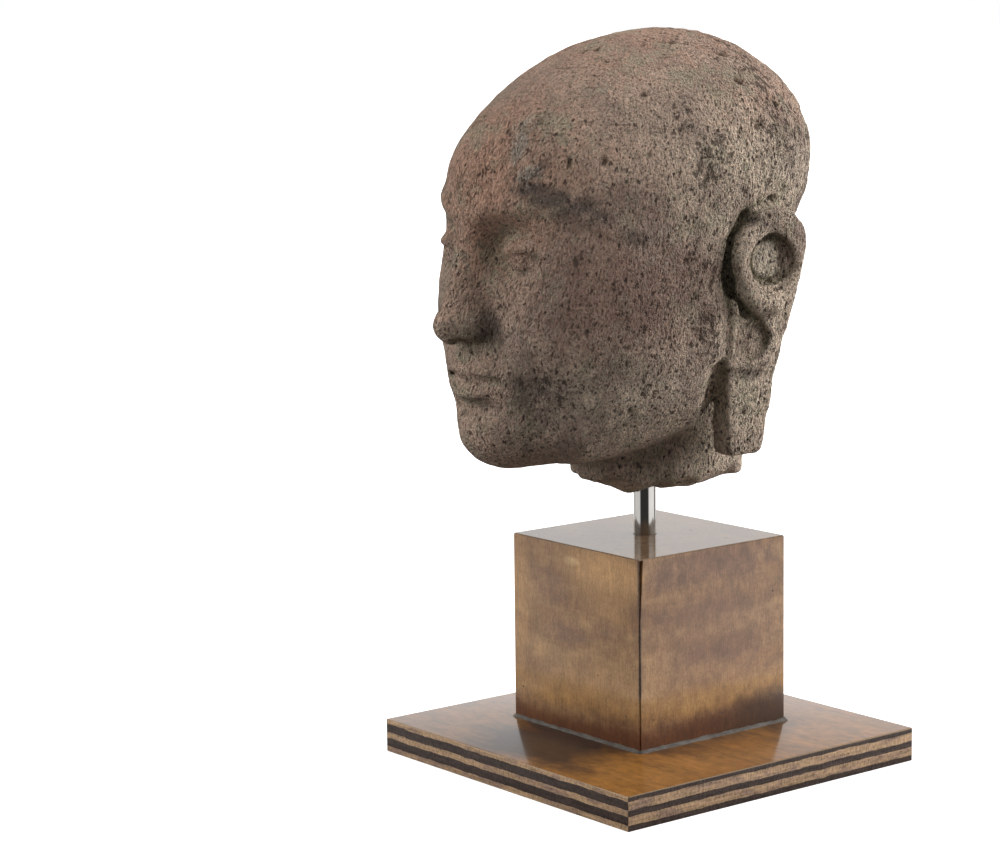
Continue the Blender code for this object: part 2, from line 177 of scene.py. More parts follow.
def keep(body: Array, other: Array, width: float) -> Array:
    """What lies in both forms, with a soft edge."""
    return -melt(-body, -other, width)


def lattice_noise(points: Array, cell: float, seed: int) -> Array:
    """Smooth noise between -1 and 1 whose lumps are about one cell across."""
    table = np.random.default_rng(seed).uniform(-1.0, 1.0, 4096)
    scaled = points / cell
    base = np.floor(scaled).astype(np.int64)
    share = scaled - base
    share = share * share * (3.0 - 2.0 * share)
    total = np.zeros(len(points))
    for corner in np.ndindex(2, 2, 2):
        weight = np.prod(np.where(corner, share, 1.0 - share), axis=1)
        total += weight * table[cell_key(base + corner)]
    return total


def cell_key(cells: Array) -> Array:
    """A place in a table of 4096 for each cell of a lattice."""
    return ((cells[:, 0] * 73856093) ^ (cells[:, 1] * 19349663) ^ (cells[:, 2] * 83492791)) & 4095


def rising(values: Array, low: float, high: float) -> Array:
    """0 below low and 1 above high, with a smooth rise between them."""
    share = np.clip((values - low) / (high - low), 0.0, 1.0)
    return share * share * (3.0 - 2.0 * share)


# Surfaces from distance forms


def without_pinches(values: Array, filled: float) -> None:
    """Sets grid values where two surfaces would share an edge or a point, so that the surface parts.

    Args:
        values: Distances on a grid, changed in place.
        filled: The small negative value that a filled place gets.
    """
    for _ in range(6):
        inside = values < 0.0
        found = False
        for axis in range(3):
            u, v = [k for k in range(3) if k != axis]
            corners = {}
            for shift in np.ndindex(2, 2):
                window = [slice(None)] * 3
                window[u] = slice(shift[0], values.shape[u] - 1 + shift[0])
                window[v] = slice(shift[1], values.shape[v] - 1 + shift[1])
                corners[shift] = tuple(window)
            straight = inside[corners[0, 0]] & inside[corners[1, 1]]
            crossed = inside[corners[1, 0]] & inside[corners[0, 1]]
            pinched = (straight & ~inside[corners[1, 0]] & ~inside[corners[0, 1]]) | (
                crossed & ~inside[corners[0, 0]] & ~inside[corners[1, 1]]
            )
            found |= bool(pinched.any())
            for window in corners.values():
                part = values[window]
                part[pinched & (part >= 0.0)] = filled
        inside = values < 0.0
        eight = {
            shift: tuple(slice(k, n - 1 + k) for k, n in zip(shift, values.shape))
            for shift in np.ndindex(2, 2, 2)
        }
        count = sum(inside[window].astype(int) for window in eight.values())
        for shift, window in eight.items():
            opposite = eight[tuple(1 - k for k in shift)]
            alone = inside[window] & inside[opposite] & (count == 2)
            apart = ~inside[window] & ~inside[opposite] & (count == 6)
            for cells, value in ((alone, -filled), (apart, filled)):
                found |= bool(cells.any())
                values[window][cells] = value
        if not found:
            return


def distances_on_grid(form: Field, low: Array, counts: Sequence[int], step: float) -> Array:
    """Distances on a grid, worked out closely only near the surface.

    Args:
        form: The distance form.
        low: The grid's lowest corner.
        counts: How many grid points there are along each axis.
        step: The distance between grid points.

    Returns:
        The distances as an array of the grid's shape.
    """
    stride, reach = 4, 3.3
    rough_counts = [(n - 1) // stride + 2 for n in counts]
    rough = np.indices(rough_counts).reshape(3, -1).T * (stride * step) + low
    rough_values = np.concatenate([form(part) for part in np.array_split(rough, 16)])
    nearest = [
        np.minimum((np.arange(n) + stride // 2) // stride, m - 1) for n, m in zip(counts, rough_counts)
    ]
    values = rough_values.reshape(rough_counts)[np.ix_(*nearest)]
    close = np.argwhere(np.abs(values) < reach * stride * step * 0.75)
    parts = [form(low + step * part) for part in np.array_split(close, 64)]
    values[tuple(close.T)] = np.concatenate(parts)
    return values


def surface_net(form: Field, low: Array, high: Array, step: float) -> tuple[Array, Array]:
    """The surface where a form's distance is zero, with one point in each cell that it crosses.

    Args:
        form: The distance form.
        low: The lowest corner of the space to search.
        high: Its highest corner.
        step: The size of a cell.

    Returns:
        The points as rows, and the quads as rows of four point numbers.
    """
    counts = [int(math.ceil((b - a) / step)) + 1 for a, b in zip(low, high)]
    values = distances_on_grid(form, low, counts, step)
    without_pinches(values, -0.05 * step)
    inside = values < 0.0
    cells = tuple(n - 1 for n in counts)
    total = np.zeros(cells + (3,))
    crossings = np.zeros(cells)
    for axis in range(3):
        first, second = [slice(None)] * 3, [slice(None)] * 3
        first[axis], second[axis] = slice(None, -1), slice(1, None)
        a, b = values[tuple(first)], values[tuple(second)]
        crossed = (a < 0.0) != (b < 0.0)
        share = np.where(crossed, a / np.where(crossed, a - b, 1.0), 0.0)
        others = [k for k in range(3) if k != axis]
        for shift in np.ndindex(2, 2):
            window = [slice(None)] * 3
            for other, move in zip(others, shift):
                window[other] = slice(move, move + cells[other])
            hit = crossed[tuple(window)]
            crossings += hit
            total[..., axis] += hit * share[tuple(window)]
            for other, move in zip(others, shift):
                total[..., other] += hit * move
    used = crossings > 0
    number = np.full(cells, -1)
    number[used] = np.arange(used.sum())
    points = low + step * (np.argwhere(used) + total[used] / crossings[used][:, None])
    return points, np.concatenate(list(quads_between(inside, number)))


def quads_between(inside: Array, number: Array) -> Iterator[Array]:
    """Yields the quads round each grid edge that the surface crosses, wound to face out."""
    for axis in range(3):
        u, v = [(1, 2), (2, 0), (0, 1)][axis]
        first = [slice(1, -1)] * 3
        first[axis] = slice(None, -1)
        second = list(first)
        second[axis] = slice(1, None)
        a, b = inside[tuple(first)], inside[tuple(second)]
        for starts_inside, wound in ((True, 1), (False, -1)):
            edge = np.argwhere((a != b) & (a == starts_inside))
            edge[:, u] += 1
            edge[:, v] += 1
            ring = []
            for du, dv in ((0, 0), (-1, 0), (-1, -1), (0, -1))[::wound]:
                cell = edge.copy()
                cell[:, u] += du
                cell[:, v] += dv
                ring.append(number[tuple(cell.T)])
            yield np.stack(ring, axis=1)


def slopes(form: Field, points: Array, reach: float = 0.05) -> Array:
    """How fast a form's distance grows along each axis at the points."""
    sides = [form(points + reach * side) - form(points - reach * side) for side in np.eye(3)]
    return np.stack(sides, axis=1) / (2.0 * reach)


def settled(form: Field, points: Array, rounds: int) -> Array:
    """The points moved along the form's slope onto its surface."""
    for _ in range(rounds):
        slope = slopes(form, points)
        length = np.maximum(np.linalg.norm(slope, axis=1, keepdims=True), 0.4)
        for _ in range(2):
            move = form(points)[:, None] * slope / np.square(length)
            points = points - np.clip(move, -0.6, 0.6)
    return points


# The stone head's carving, in hundredths of the head's height: x is its left, y its back and z up, with
# the chin's underside at z = 0, the crown at z = 100 and y = 0 halfway along the skull.


@dataclass(frozen=True)
class Carving:
    """The carved form of the head as a distance form.

    Attributes:
        break_level: The lowest point of the broken neck.
        rod_back: How far behind the head's middle the rod stands.
        rod_radius: Radius of the drilled hole.
        rod_top: Level of the hole's end.
    """

    break_level: float
    rod_back: float
    rod_radius: float
    rod_top: float

    def skull(self, p: Array) -> Array:
        """The shaven skull."""
        rear = egg(p, (0, 10.8, 69.0), (36.5, 34.2, 30.7))
        front = egg(p, (0, -10.0, 55.3), (34.5, 33.5, 37.0))
        forehead = egg(p, (0, -12.0, 66.0), (26.0, 31.0, 16.0))
        return melt(melt(rear, front, 14.0), forehead, 10.0)

    def face_mass(self, p: Array) -> Array:
        """Cheeks, jaw and chin, before the features."""
        middle = egg(p, (0, -12.5, 34.0), (31.0, 29.5, 35.0))
        jaw = strand(p, [(0, -32, 10.8), (13, -25, 12.2), (21.5, -5, 19.5)], [10.6, 11.8, 11.8])
        side = egg(p, (19.0, -10.0, 34.0), (15.0, 19.0, 24.0))
        cheek = egg(p, (16.0, -26.0, 32.0), (14.0, 13.8, 16.0))
        cheekbone = ball(p, (22.5, -22.0, 43.0), 9.5)
        chin = egg(p, (0, -36.5, 7.6), (10.0, 8.4, 7.6))
        mouth_mound = egg(p, (0, -33.5, 21.5), (15.0, 12.0, 12.5))
        flank = melt(side, melt(cheek, cheekbone, 10.0), 8.0)
        form = melt(melt(middle, jaw, 10.0), flank, 9.0)
        return melt(form, melt(chin, mouth_mound, 6.0), 8.0)

    def brow(self, p: Array) -> Array:
        """The ridge over the eye."""
        line = [
            (3.8, -43.6, 57.6),
            (9.5, -42.2, 60.4),
            (17.0, -38.4, 61.2),
            (25.0, -32.4, 59.0),
            (30.0, -26.0, 55.5),
        ]
        return strand(p, line, [1.3, 1.7, 1.7, 1.2, 0.3])

    def nose_bridge(self, p: Array) -> Array:
        """The nose from its root down to the tip."""
        narrow = p * (1.22, 1.0, 1.0)
        return limb(narrow, (0, -40.4, 58.5), (0, -45.0, 35.5), 3.8, 6.4)

    def nose_end(self, p: Array) -> Array:
        """The tip, the wings and what joins them to the lip."""
        tip = egg(p, (0, -49.2, 33.2), (4.3, 4.5, 4.2))
        wing = egg(p, (4.5, -45.0, 32.4), (3.3, 4.8, 3.4))
        root = limb(p, (0, -48.4, 31.2), (0, -43.4, 28.6), 2.6, 2.6)
        return melt(tip, melt(wing, root, 2.5), 3.0)

    def eye(self, p: Array) -> Array:
        """Lids half closed over the eyeball, to be added once the socket is cut."""
        radii = np.array((9.6, 9.9, 6.9))
        local = turned(p - (13.4, -30.9, 49.2), 16.0)
        eyeball = egg(local, (0, 0, 0), radii)

        def margin(middle: float, corner: float, lift: float) -> list[tuple[float, float, float]]:
            """A line across the eyeball from corner to corner, standing a little proud of it."""
            line = []
            for share in np.linspace(-1.0, 1.0, 7):
                x, z = 8.0 * share, corner + (middle - corner) * (1.0 - share * share)
                depth = math.sqrt(1.0 - (x / radii[0]) ** 2 - (z / radii[2]) ** 2)
                line.append((x, -radii[1] * depth - lift, z))
            return line

        thickness = [0.5, 0.8, 0.95, 1.0, 0.95, 0.8, 0.5]
        upper_edge = strand(local, margin(1.6, -0.9, 0.2), thickness)
        lower_edge = strand(local, margin(-2.6, -1.1, 0.0), [0.8 * t for t in thickness])
        x, _, z = local.T
        bow = 1.0 - np.square(np.minimum(np.abs(x) / 8.2, 1.4))
        upper_lid = keep(egg(local, (0, 0, 0), radii + 0.9), -0.9 + 2.5 * bow - z, 0.8)
        lids = melt(upper_lid, melt(upper_edge, lower_edge, 0.6), 0.8)
        return melt(eyeball, lids, 0.5)

    def lips(self, p: Array) -> Array:
        """Both lips."""
        upper = strand(
            p,
            [(0, -44.8, 22.4), (3.0, -44.5, 23.2), (7.2, -42.6, 22.2), (10.4, -40.2, 20.9)],
            [2.5, 2.6, 2.0, 0.9],
        )
        lower = strand(
            p,
            [(0, -44.2, 17.4), (4.0, -43.5, 17.5), (7.4, -41.9, 18.4), (9.8, -40.4, 19.8)],
            [3.3, 3.1, 2.3, 1.0],
        )
        return melt(upper, lower, 0.8)

    def mouth_line(self, p: Array) -> Array:
        """The line between the lips."""
        return strand(
            p,
            [(0, -47.9, 20.3), (3.6, -47.1, 20.2), (7.2, -44.9, 20.2), (10.2, -42.4, 20.7)],
            [1.0, 1.0, 0.9, 0.6],
        )

    def ear_slab(self, p: Array) -> Array:
        """The ear's broad upright body, from its rounded top down to the end of the long lobe."""
        x, _, z = p.T
        middle = [
            (0, 14.8, 49.4),
            (0, 14.2, 44.0),
            (0, 12.2, 31.0),
            (0, 11.0, 20.0),
            (0, 10.3, 10.0),
            (0, 10.3, 4.0),
        ]
        outline = strand(p * (0, 1, 1), middle, [9.8, 9.7, 8.4, 7.0, 6.2, 5.6])
        outline = keep(outline, 0.9 - z, 1.6)
        thickness = np.abs(x - (30.4 + 0.105 * (z - 5.0))) - 3.1
        rounding = 1.3
        outside = np.hypot(np.maximum(outline + rounding, 0), np.maximum(thickness + rounding, 0))
        slab = np.minimum(np.maximum(outline, thickness) + rounding, 0) + outside - rounding
        root = strand(p, [(29.5, 14.0, 52.0), (28.5, 13.0, 38.0), (27.5, 12.5, 22.0)], [7.0, 6.5, 5.5])
        return melt(slab, root, 3.5)

    def ear_front(self, p: Array) -> Array:
        """The swelling of the cheek that runs into the ear's front."""
        line = [(29.4, -1.6, 54.0), (29.8, -0.4, 42.0), (30.0, 0.8, 33.0), (30.0, 1.8, 27.5)]
        return strand(p, line, [4.2, 4.7, 4.8, 4.4])

    def ear_groove(self, p: Array) -> Array:
        """The hollow in front of the rim and between the lobe and the jaw."""
        along_rim = strand(
            p * (0.4, 1.0, 1.0),
            [(14.4, 8.4, 57.4), (14.0, 4.9, 51.6), (13.8, 4.5, 43.0), (14.0, 7.4, 35.4), (14.8, 12.2, 32.6)],
            [0.9, 1.3, 1.4, 1.2, 0.8],
        )
        below = strand(
            p,
            [(33.6, 2.0, 22.5), (32.6, 1.4, 17.0), (31.8, 1.4, 12.0), (31.0, 1.6, 0.0)],
            [1.2, 2.2, 3.2, 3.8],
        )
        return melt(along_rim, below, 2.0)

    def ear_rim(self, p: Array) -> Array:
        """The thick ring round the upper hollow and the ledge over the lobe."""
        ring = hoop(p, (36.9, 13.7, 46.9), (8.0, 9.2), 2.0, 6.0)
        foot = strand(p, [(36.4, 7.2, 40.0), (36.6, 10.6, 37.0), (36.6, 15.2, 36.2)], [2.0, 2.5, 2.5])
        ledge = strand(p, [(34.4, 4.6, 23.0), (35.0, 9.5, 22.4), (34.8, 14.4, 23.6)], [1.4, 1.8, 1.4])
        return np.minimum(melt(ring, foot, 1.6), ledge)

    def ear_oval(self, p: Array) -> Array:
        """Distance from the outline of the hollow inside the ring, along the side of the head."""
        return (np.hypot((p[:, 1] - 14.3) / 5.9, (p[:, 2] - 46.8) / 5.8) - 1.0) * 5.8

    def ear_hollows(self, p: Array) -> Array:
        """The flat-floored oval inside the ring, the hollow over the ledge and the broken line under it."""
        x, y, z = p.T
        inner = self.ear_oval(p)
        floor = 35.8 + 0.7 * np.maximum(y - 17.6, 0.0)
        floor -= 1.1 * rising(inner, -1.9, -1.0) * (y < 16.0)
        middle = (np.hypot((y - 10.2) / 4.8, (z - 28.6) / 4.4) - 1.0) * 4.4
        under = strand(p, [(36.0, 4.8, 19.4), (36.5, 9.5, 18.8), (36.2, 14.0, 20.0)], [1.3, 1.6, 1.2])
        return np.minimum(np.minimum(keep(inner, floor - x, 0.3), keep(middle, 34.3 - x, 0.6)), under)

    def neck(self, p: Array) -> Array:
        """The neck's column, leaning back as it rises."""
        x, y, z = p.T
        middle = 8.5 + 0.1 * np.maximum(z + 4.0, 0.0)
        return (np.hypot(x / 22.0, (y - middle) / 20.5) - 1.0) * 20.5

    def break_surface(self, p: Array) -> Array:
        """Signed height over the broken underside of the neck."""
        x, y, z = p.T
        level = self.break_level + 0.010 * (x * x + np.square(y - 7.0))
        level += 1.3 * lattice_noise(p * (1, 1, 0), 8.0, 11)
        level += 0.7 * lattice_noise(p * (1, 1, 0), 3.2, 12)
        return z - level

    def chips(self, points: Array) -> Array:
        """Pieces knocked off the left ear's lobe and rim, and off the edge of the neck."""
        lobe_end = ball(points, (36.5, 15.6, -1.4), 4.0)
        rim_top = np.minimum(ball(points, (39.8, 8.6, 56.8), 1.9), ball(points, (39.9, 11.8, 57.2), 1.3))
        neck_edge = ball(points, (9.0, -13.5, -9.0), 4.5)
        nape_edge = ball(points, (-14.0, 26.5, -8.0), 5.0)
        return np.minimum(np.minimum(lobe_end, rim_top), np.minimum(neck_edge, nape_edge))

    def rod_hole(self, p: Array) -> Array:
        """The drilled hole that the rod stands in."""
        x, y, z = p.T
        return np.maximum(np.hypot(x, y - self.rod_back) - self.rod_radius, z - self.rod_top)

    def distance(self, points: Array) -> Array:
        """Distance from points in the head's axes to its carved surface."""
        p = points * 1.0
        p[:, 0] = np.abs(p[:, 0])
        form = melt(self.skull(p), self.face_mass(p), 9.0)
        form = melt(form, self.brow(p), 3.5)
        form = cut(form, egg(p, (13.4, -44.5, 50.2), (9.8, 7.6, 6.4)), 3.5)
        form = melt(form, self.eye(p), 0.9)
        form = melt(form, self.nose_bridge(p), 5.0)
        form = melt(form, self.nose_end(p), 1.8)
        form = cut(form, egg(p, (2.7, -47.4, 28.9), (1.5, 2.5, 1.6)), 1.0)
        form = cut(form, limb(p, (0, -46.6, 27.6), (0, -46.9, 25.6), 1.2, 1.2), 1.2)
        form = melt(form, self.lips(p), 1.6)
        form = cut(form, self.mouth_line(p), 0.9)
        form = cut(form, strand(p, [(0, -46.4, 12.8), (7.0, -44.2, 13.6)], [1.6, 1.3]), 2.5)
        stub = keep(self.neck(p), -self.break_surface(points), 1.2)
        stub = keep(stub, p[:, 2] - 54.0, 2.0)
        form = melt(form, stub, np.clip(3.0 + 0.3 * (p[:, 1] - 8.0), 3.0, 9.0))
        form = melt(form, self.ear_front(p), 6.0)
        form = melt(form, self.ear_slab(p), 1.4)
        form = cut(form, self.ear_groove(p), 1.2)
        form = melt(form, self.ear_rim(p), 1.0)
        form = cut(form, self.ear_hollows(p), 0.5)
        form = cut(form, self.chips(points), 0.8)
        form += 0.30 * lattice_noise(points, 11.0, 1) + 0.16 * lattice_noise(points, 4.5, 2)
        return np.maximum(form, -self.rod_hole(p))


@dataclass(frozen=True)
class Pores:
    """Open pores large enough to be modelled, taller than they are wide.

    Attributes:
        cell: Distance between pores.
        smallest: Radius of the smallest.
        largest: Radius of the largest.
        upright: How many times taller than wide they are.
        seed: Picks where they lie.
        fray: How ragged their edges are.
    """

    cell: float
    smallest: float
    largest: float
    upright: float
    seed: int
    fray: float = 0.45

    def openness(self, points: Array, share: Array) -> Array:
        """How far into a pore each point lies.

        Args:
            points: Points on the surface.
            share: The part of the pores that is present round each point.

        Returns:
            0 outside the pores, rising to 1 at their middles.
        """
        table = np.random.default_rng(self.seed).uniform(0.0, 1.0, (4096, 5))
        frayed = [self.fray * lattice_noise(points, 1.5, self.seed + axis) for axis in range(3)]
        scaled = (points + np.stack(frayed, axis=1)) / self.cell / (1.0, 1.0, self.upright)
        base = np.floor(scaled).astype(np.int64)
        deepest = np.zeros(len(points))
        for shift in np.ndindex(3, 3, 3):
            cells = base + shift - 1
            random = table[cell_key(cells)]
            centre = cells + 0.15 + 0.7 * random[:, :3]
            radius = (self.smallest + random[:, 3] ** 2 * (self.largest - self.smallest)) / self.cell
            near = np.linalg.norm(scaled - centre, axis=1) / radius
            bowl = np.clip(1.0 - near**2, 0.0, 1.0) * (random[:, 4] < share)
            deepest = np.maximum(deepest, bowl)
        return deepest


# Shaders


class Signal:
    """An output socket, with arithmetic on numbers that adds the nodes for it."""

    def __init__(self, nodes: "Nodes", socket: bpy.types.NodeSocket) -> None:
        """Wraps a socket of this node tree."""
        self.nodes = nodes
        self.socket = socket

    def maths(self, operation: str, first: object, second: object = 0.0) -> "Signal":
        """A Math node on one or two values."""
        return self.nodes.make("ShaderNodeMath", {"operation": operation}, {0: first, 1: second})

    def __add__(self, other: object) -> "Signal":
        """self + other"""
        return self.maths("ADD", self, other)

    def __sub__(self, other: object) -> "Signal":
        """self - other"""
        return self.maths("SUBTRACT", self, other)

    def __rsub__(self, other: object) -> "Signal":
        """other - self"""
        return self.maths("SUBTRACT", other, self)

    def __mul__(self, other: object) -> "Signal":
        """self * other"""
        return self.maths("MULTIPLY", self, other)

    __radd__ = __add__
    __rmul__ = __mul__

    def above(self, low: float, high: float) -> "Signal":
        """0 below low and 1 above high, with a smooth rise between them; low may be the larger one."""
        settings = {"interpolation_type": "SMOOTHSTEP"}
        return self.nodes.make("ShaderNodeMapRange", settings, {"Value": self, 1: low, 2: high})

    def within(self, low: float, high: float, fade: float) -> "Signal":
        """1 between low and high, fading to 0 outside them."""
        return self.above(low - fade, low) * self.above(high + fade, high)

    def part(self, axis: int) -> "Signal":
        """One coordinate or channel of a vector or colour."""
        return self.nodes.make("ShaderNodeSeparateXYZ", {}, {0: self}, axis)


class Nodes:
    """A node tree built from expressions."""

    def __init__(self, tree: bpy.types.NodeTree) -> None:
        """Wraps a node tree."""
        self.tree = tree

    def make(self, kind: str, settings: dict, sockets: dict, output: int | str = 0) -> Signal:
        """Adds any node.

        Args:
            kind: The node's type.
            settings: Its settings, set before its sockets.
            sockets: Values or signals for its inputs, by name or number.
            output: The output wanted, by name or number.

        Returns:
            The wanted output.
        """
        node = self.tree.nodes.new(kind)
        for name, value in settings.items():
            setattr(node, name, value)
        for key, value in sockets.items():
            if isinstance(value, Signal):
                self.tree.links.new(value.socket, node.inputs[key])
            elif isinstance(value, tuple) and node.inputs[key].type == "RGBA":
                node.inputs[key].default_value = (*value, 1.0)
            else:
                node.inputs[key].default_value = value
        return Signal(self, node.outputs[output])


class Shader(Nodes):
    """One material, built from expressions on what varies over its surface."""

    def __init__(self, name: str, **constants: object) -> None:
        """Starts a material.

        Args:
            name: The material's name.
            constants: Values for the shader's own sockets, with _ for a space in a socket's name.
        """
        self.material = bpy.data.materials.new(name)
        self.material.use_nodes = True
        super().__init__(self.material.node_tree)
        self.surface = self.tree.nodes["Principled BSDF"]
        for socket, value in constants.items():
            self.surface.inputs[socket.replace("_", " ")].default_value = value
        self.place = self.make("ShaderNodeTexCoord", {}, {}, "Object")

    def stretched(self, scale: Scale, shift: float = 0.0, lean: float = 0.0) -> Signal:
        """Object coordinates multiplied along each axis, after a lean about x in degrees."""
        place = self.place
        if lean:
            turn = (math.radians(lean), 0.0, 0.0)
            place = self.make("ShaderNodeMapping", {}, {"Vector": place, "Rotation": turn})
        return self.make("ShaderNodeMapping", {}, {"Vector": place, "Location": (shift,) * 3, "Scale": scale})

    def noise(
        self, scale: Scale, detail: float = 2.0, roughness: float = 0.5, shift: float = 0.0, lean: float = 0.0
    ) -> Signal:
        """Cloudy noise of 0 to 1, with this many lumps to a metre along each axis."""
        where = self.stretched(scale, shift, lean)
        sockets = {"Vector": where, "Scale": 1.0, "Detail": detail, "Roughness": roughness}
        return self.make("ShaderNodeTexNoise", {}, sockets)

    def cells(self, scale: Scale, shift: float = 0.0, lean: float = 0.0) -> tuple[Signal, Signal]:
        """Distance to scattered points, and a random number for each of them."""
        sockets = {"Vector": self.stretched(scale, shift, lean), "Scale": 1.0}
        distance = self.make("ShaderNodeTexVoronoi", {}, sockets, "Distance")
        colour = Signal(self, distance.socket.node.outputs["Color"])
        return distance, colour.part(0)

    def spot(self, centre: Scale, radii: Scale, ragged: Signal | None = None, fray: float = 0.0) -> Signal:
        """A patch of this size at this place, 1 in its middle fading to 0, its edge frayed by a signal."""
        offset = self.make("ShaderNodeVectorMath", {"operation": "SUBTRACT"}, {0: self.place, 1: centre})
        scaled = self.make("ShaderNodeVectorMath", {"operation": "DIVIDE"}, {0: offset, 1: radii})
        far = self.make("ShaderNodeVectorMath", {"operation": "LENGTH"}, {0: scaled}, "Value")
        if ragged:
            far = far + (ragged - 0.5) * fray
        return far.above(1.25, 0.25)

    def attribute(self, name: str) -> Signal:
        """A value stored with the mesh."""
        return self.make("ShaderNodeAttribute", {"attribute_name": name}, {}, "Fac")

    def blend(self, share: Signal | float, a: Signal | Colour, b: Signal | Colour) -> Signal:
        """From colour a to colour b as the share goes from 0 to 1."""
        return self.make("ShaderNodeMix", {"data_type": "RGBA"}, {0: share, 6: a, 7: b}, 2)

    def shaded(self, colour: Signal, strength: Signal) -> Signal:
        """The colour made darker or lighter by a number."""
        return self.make("ShaderNodeVectorMath", {"operation": "SCALE"}, {0: colour, "Scale": strength})

    def finish(
        self,
        colour: Signal,
        roughness: Signal | None = None,
        relief: Signal | None = None,
        depth: float = 0.0,
        coat: Signal | None = None,
    ) -> bpy.types.Material:
        """Connects what varies to the surface.

        Args:
            colour: Base colour.
            roughness: Roughness, if it varies.
            relief: Height of the fine relief, 0 to 1.
            depth: How much height a relief of 1 stands for, in metres.
            coat: Weight of the clear coat, if it varies.

        Returns:
            The material.
        """
        varying = {"Base Color": colour, "Roughness": roughness, "Coat Weight": coat}
        if relief:
            sockets = {"Height": relief, "Distance": depth, "Strength": 1.0}
            varying["Normal"] = self.make("ShaderNodeBump", {}, sockets)
        for name, signal in varying.items():
            if signal:
                self.tree.links.new(signal.socket, self.surface.inputs[name])
        return self.material


# Finishes


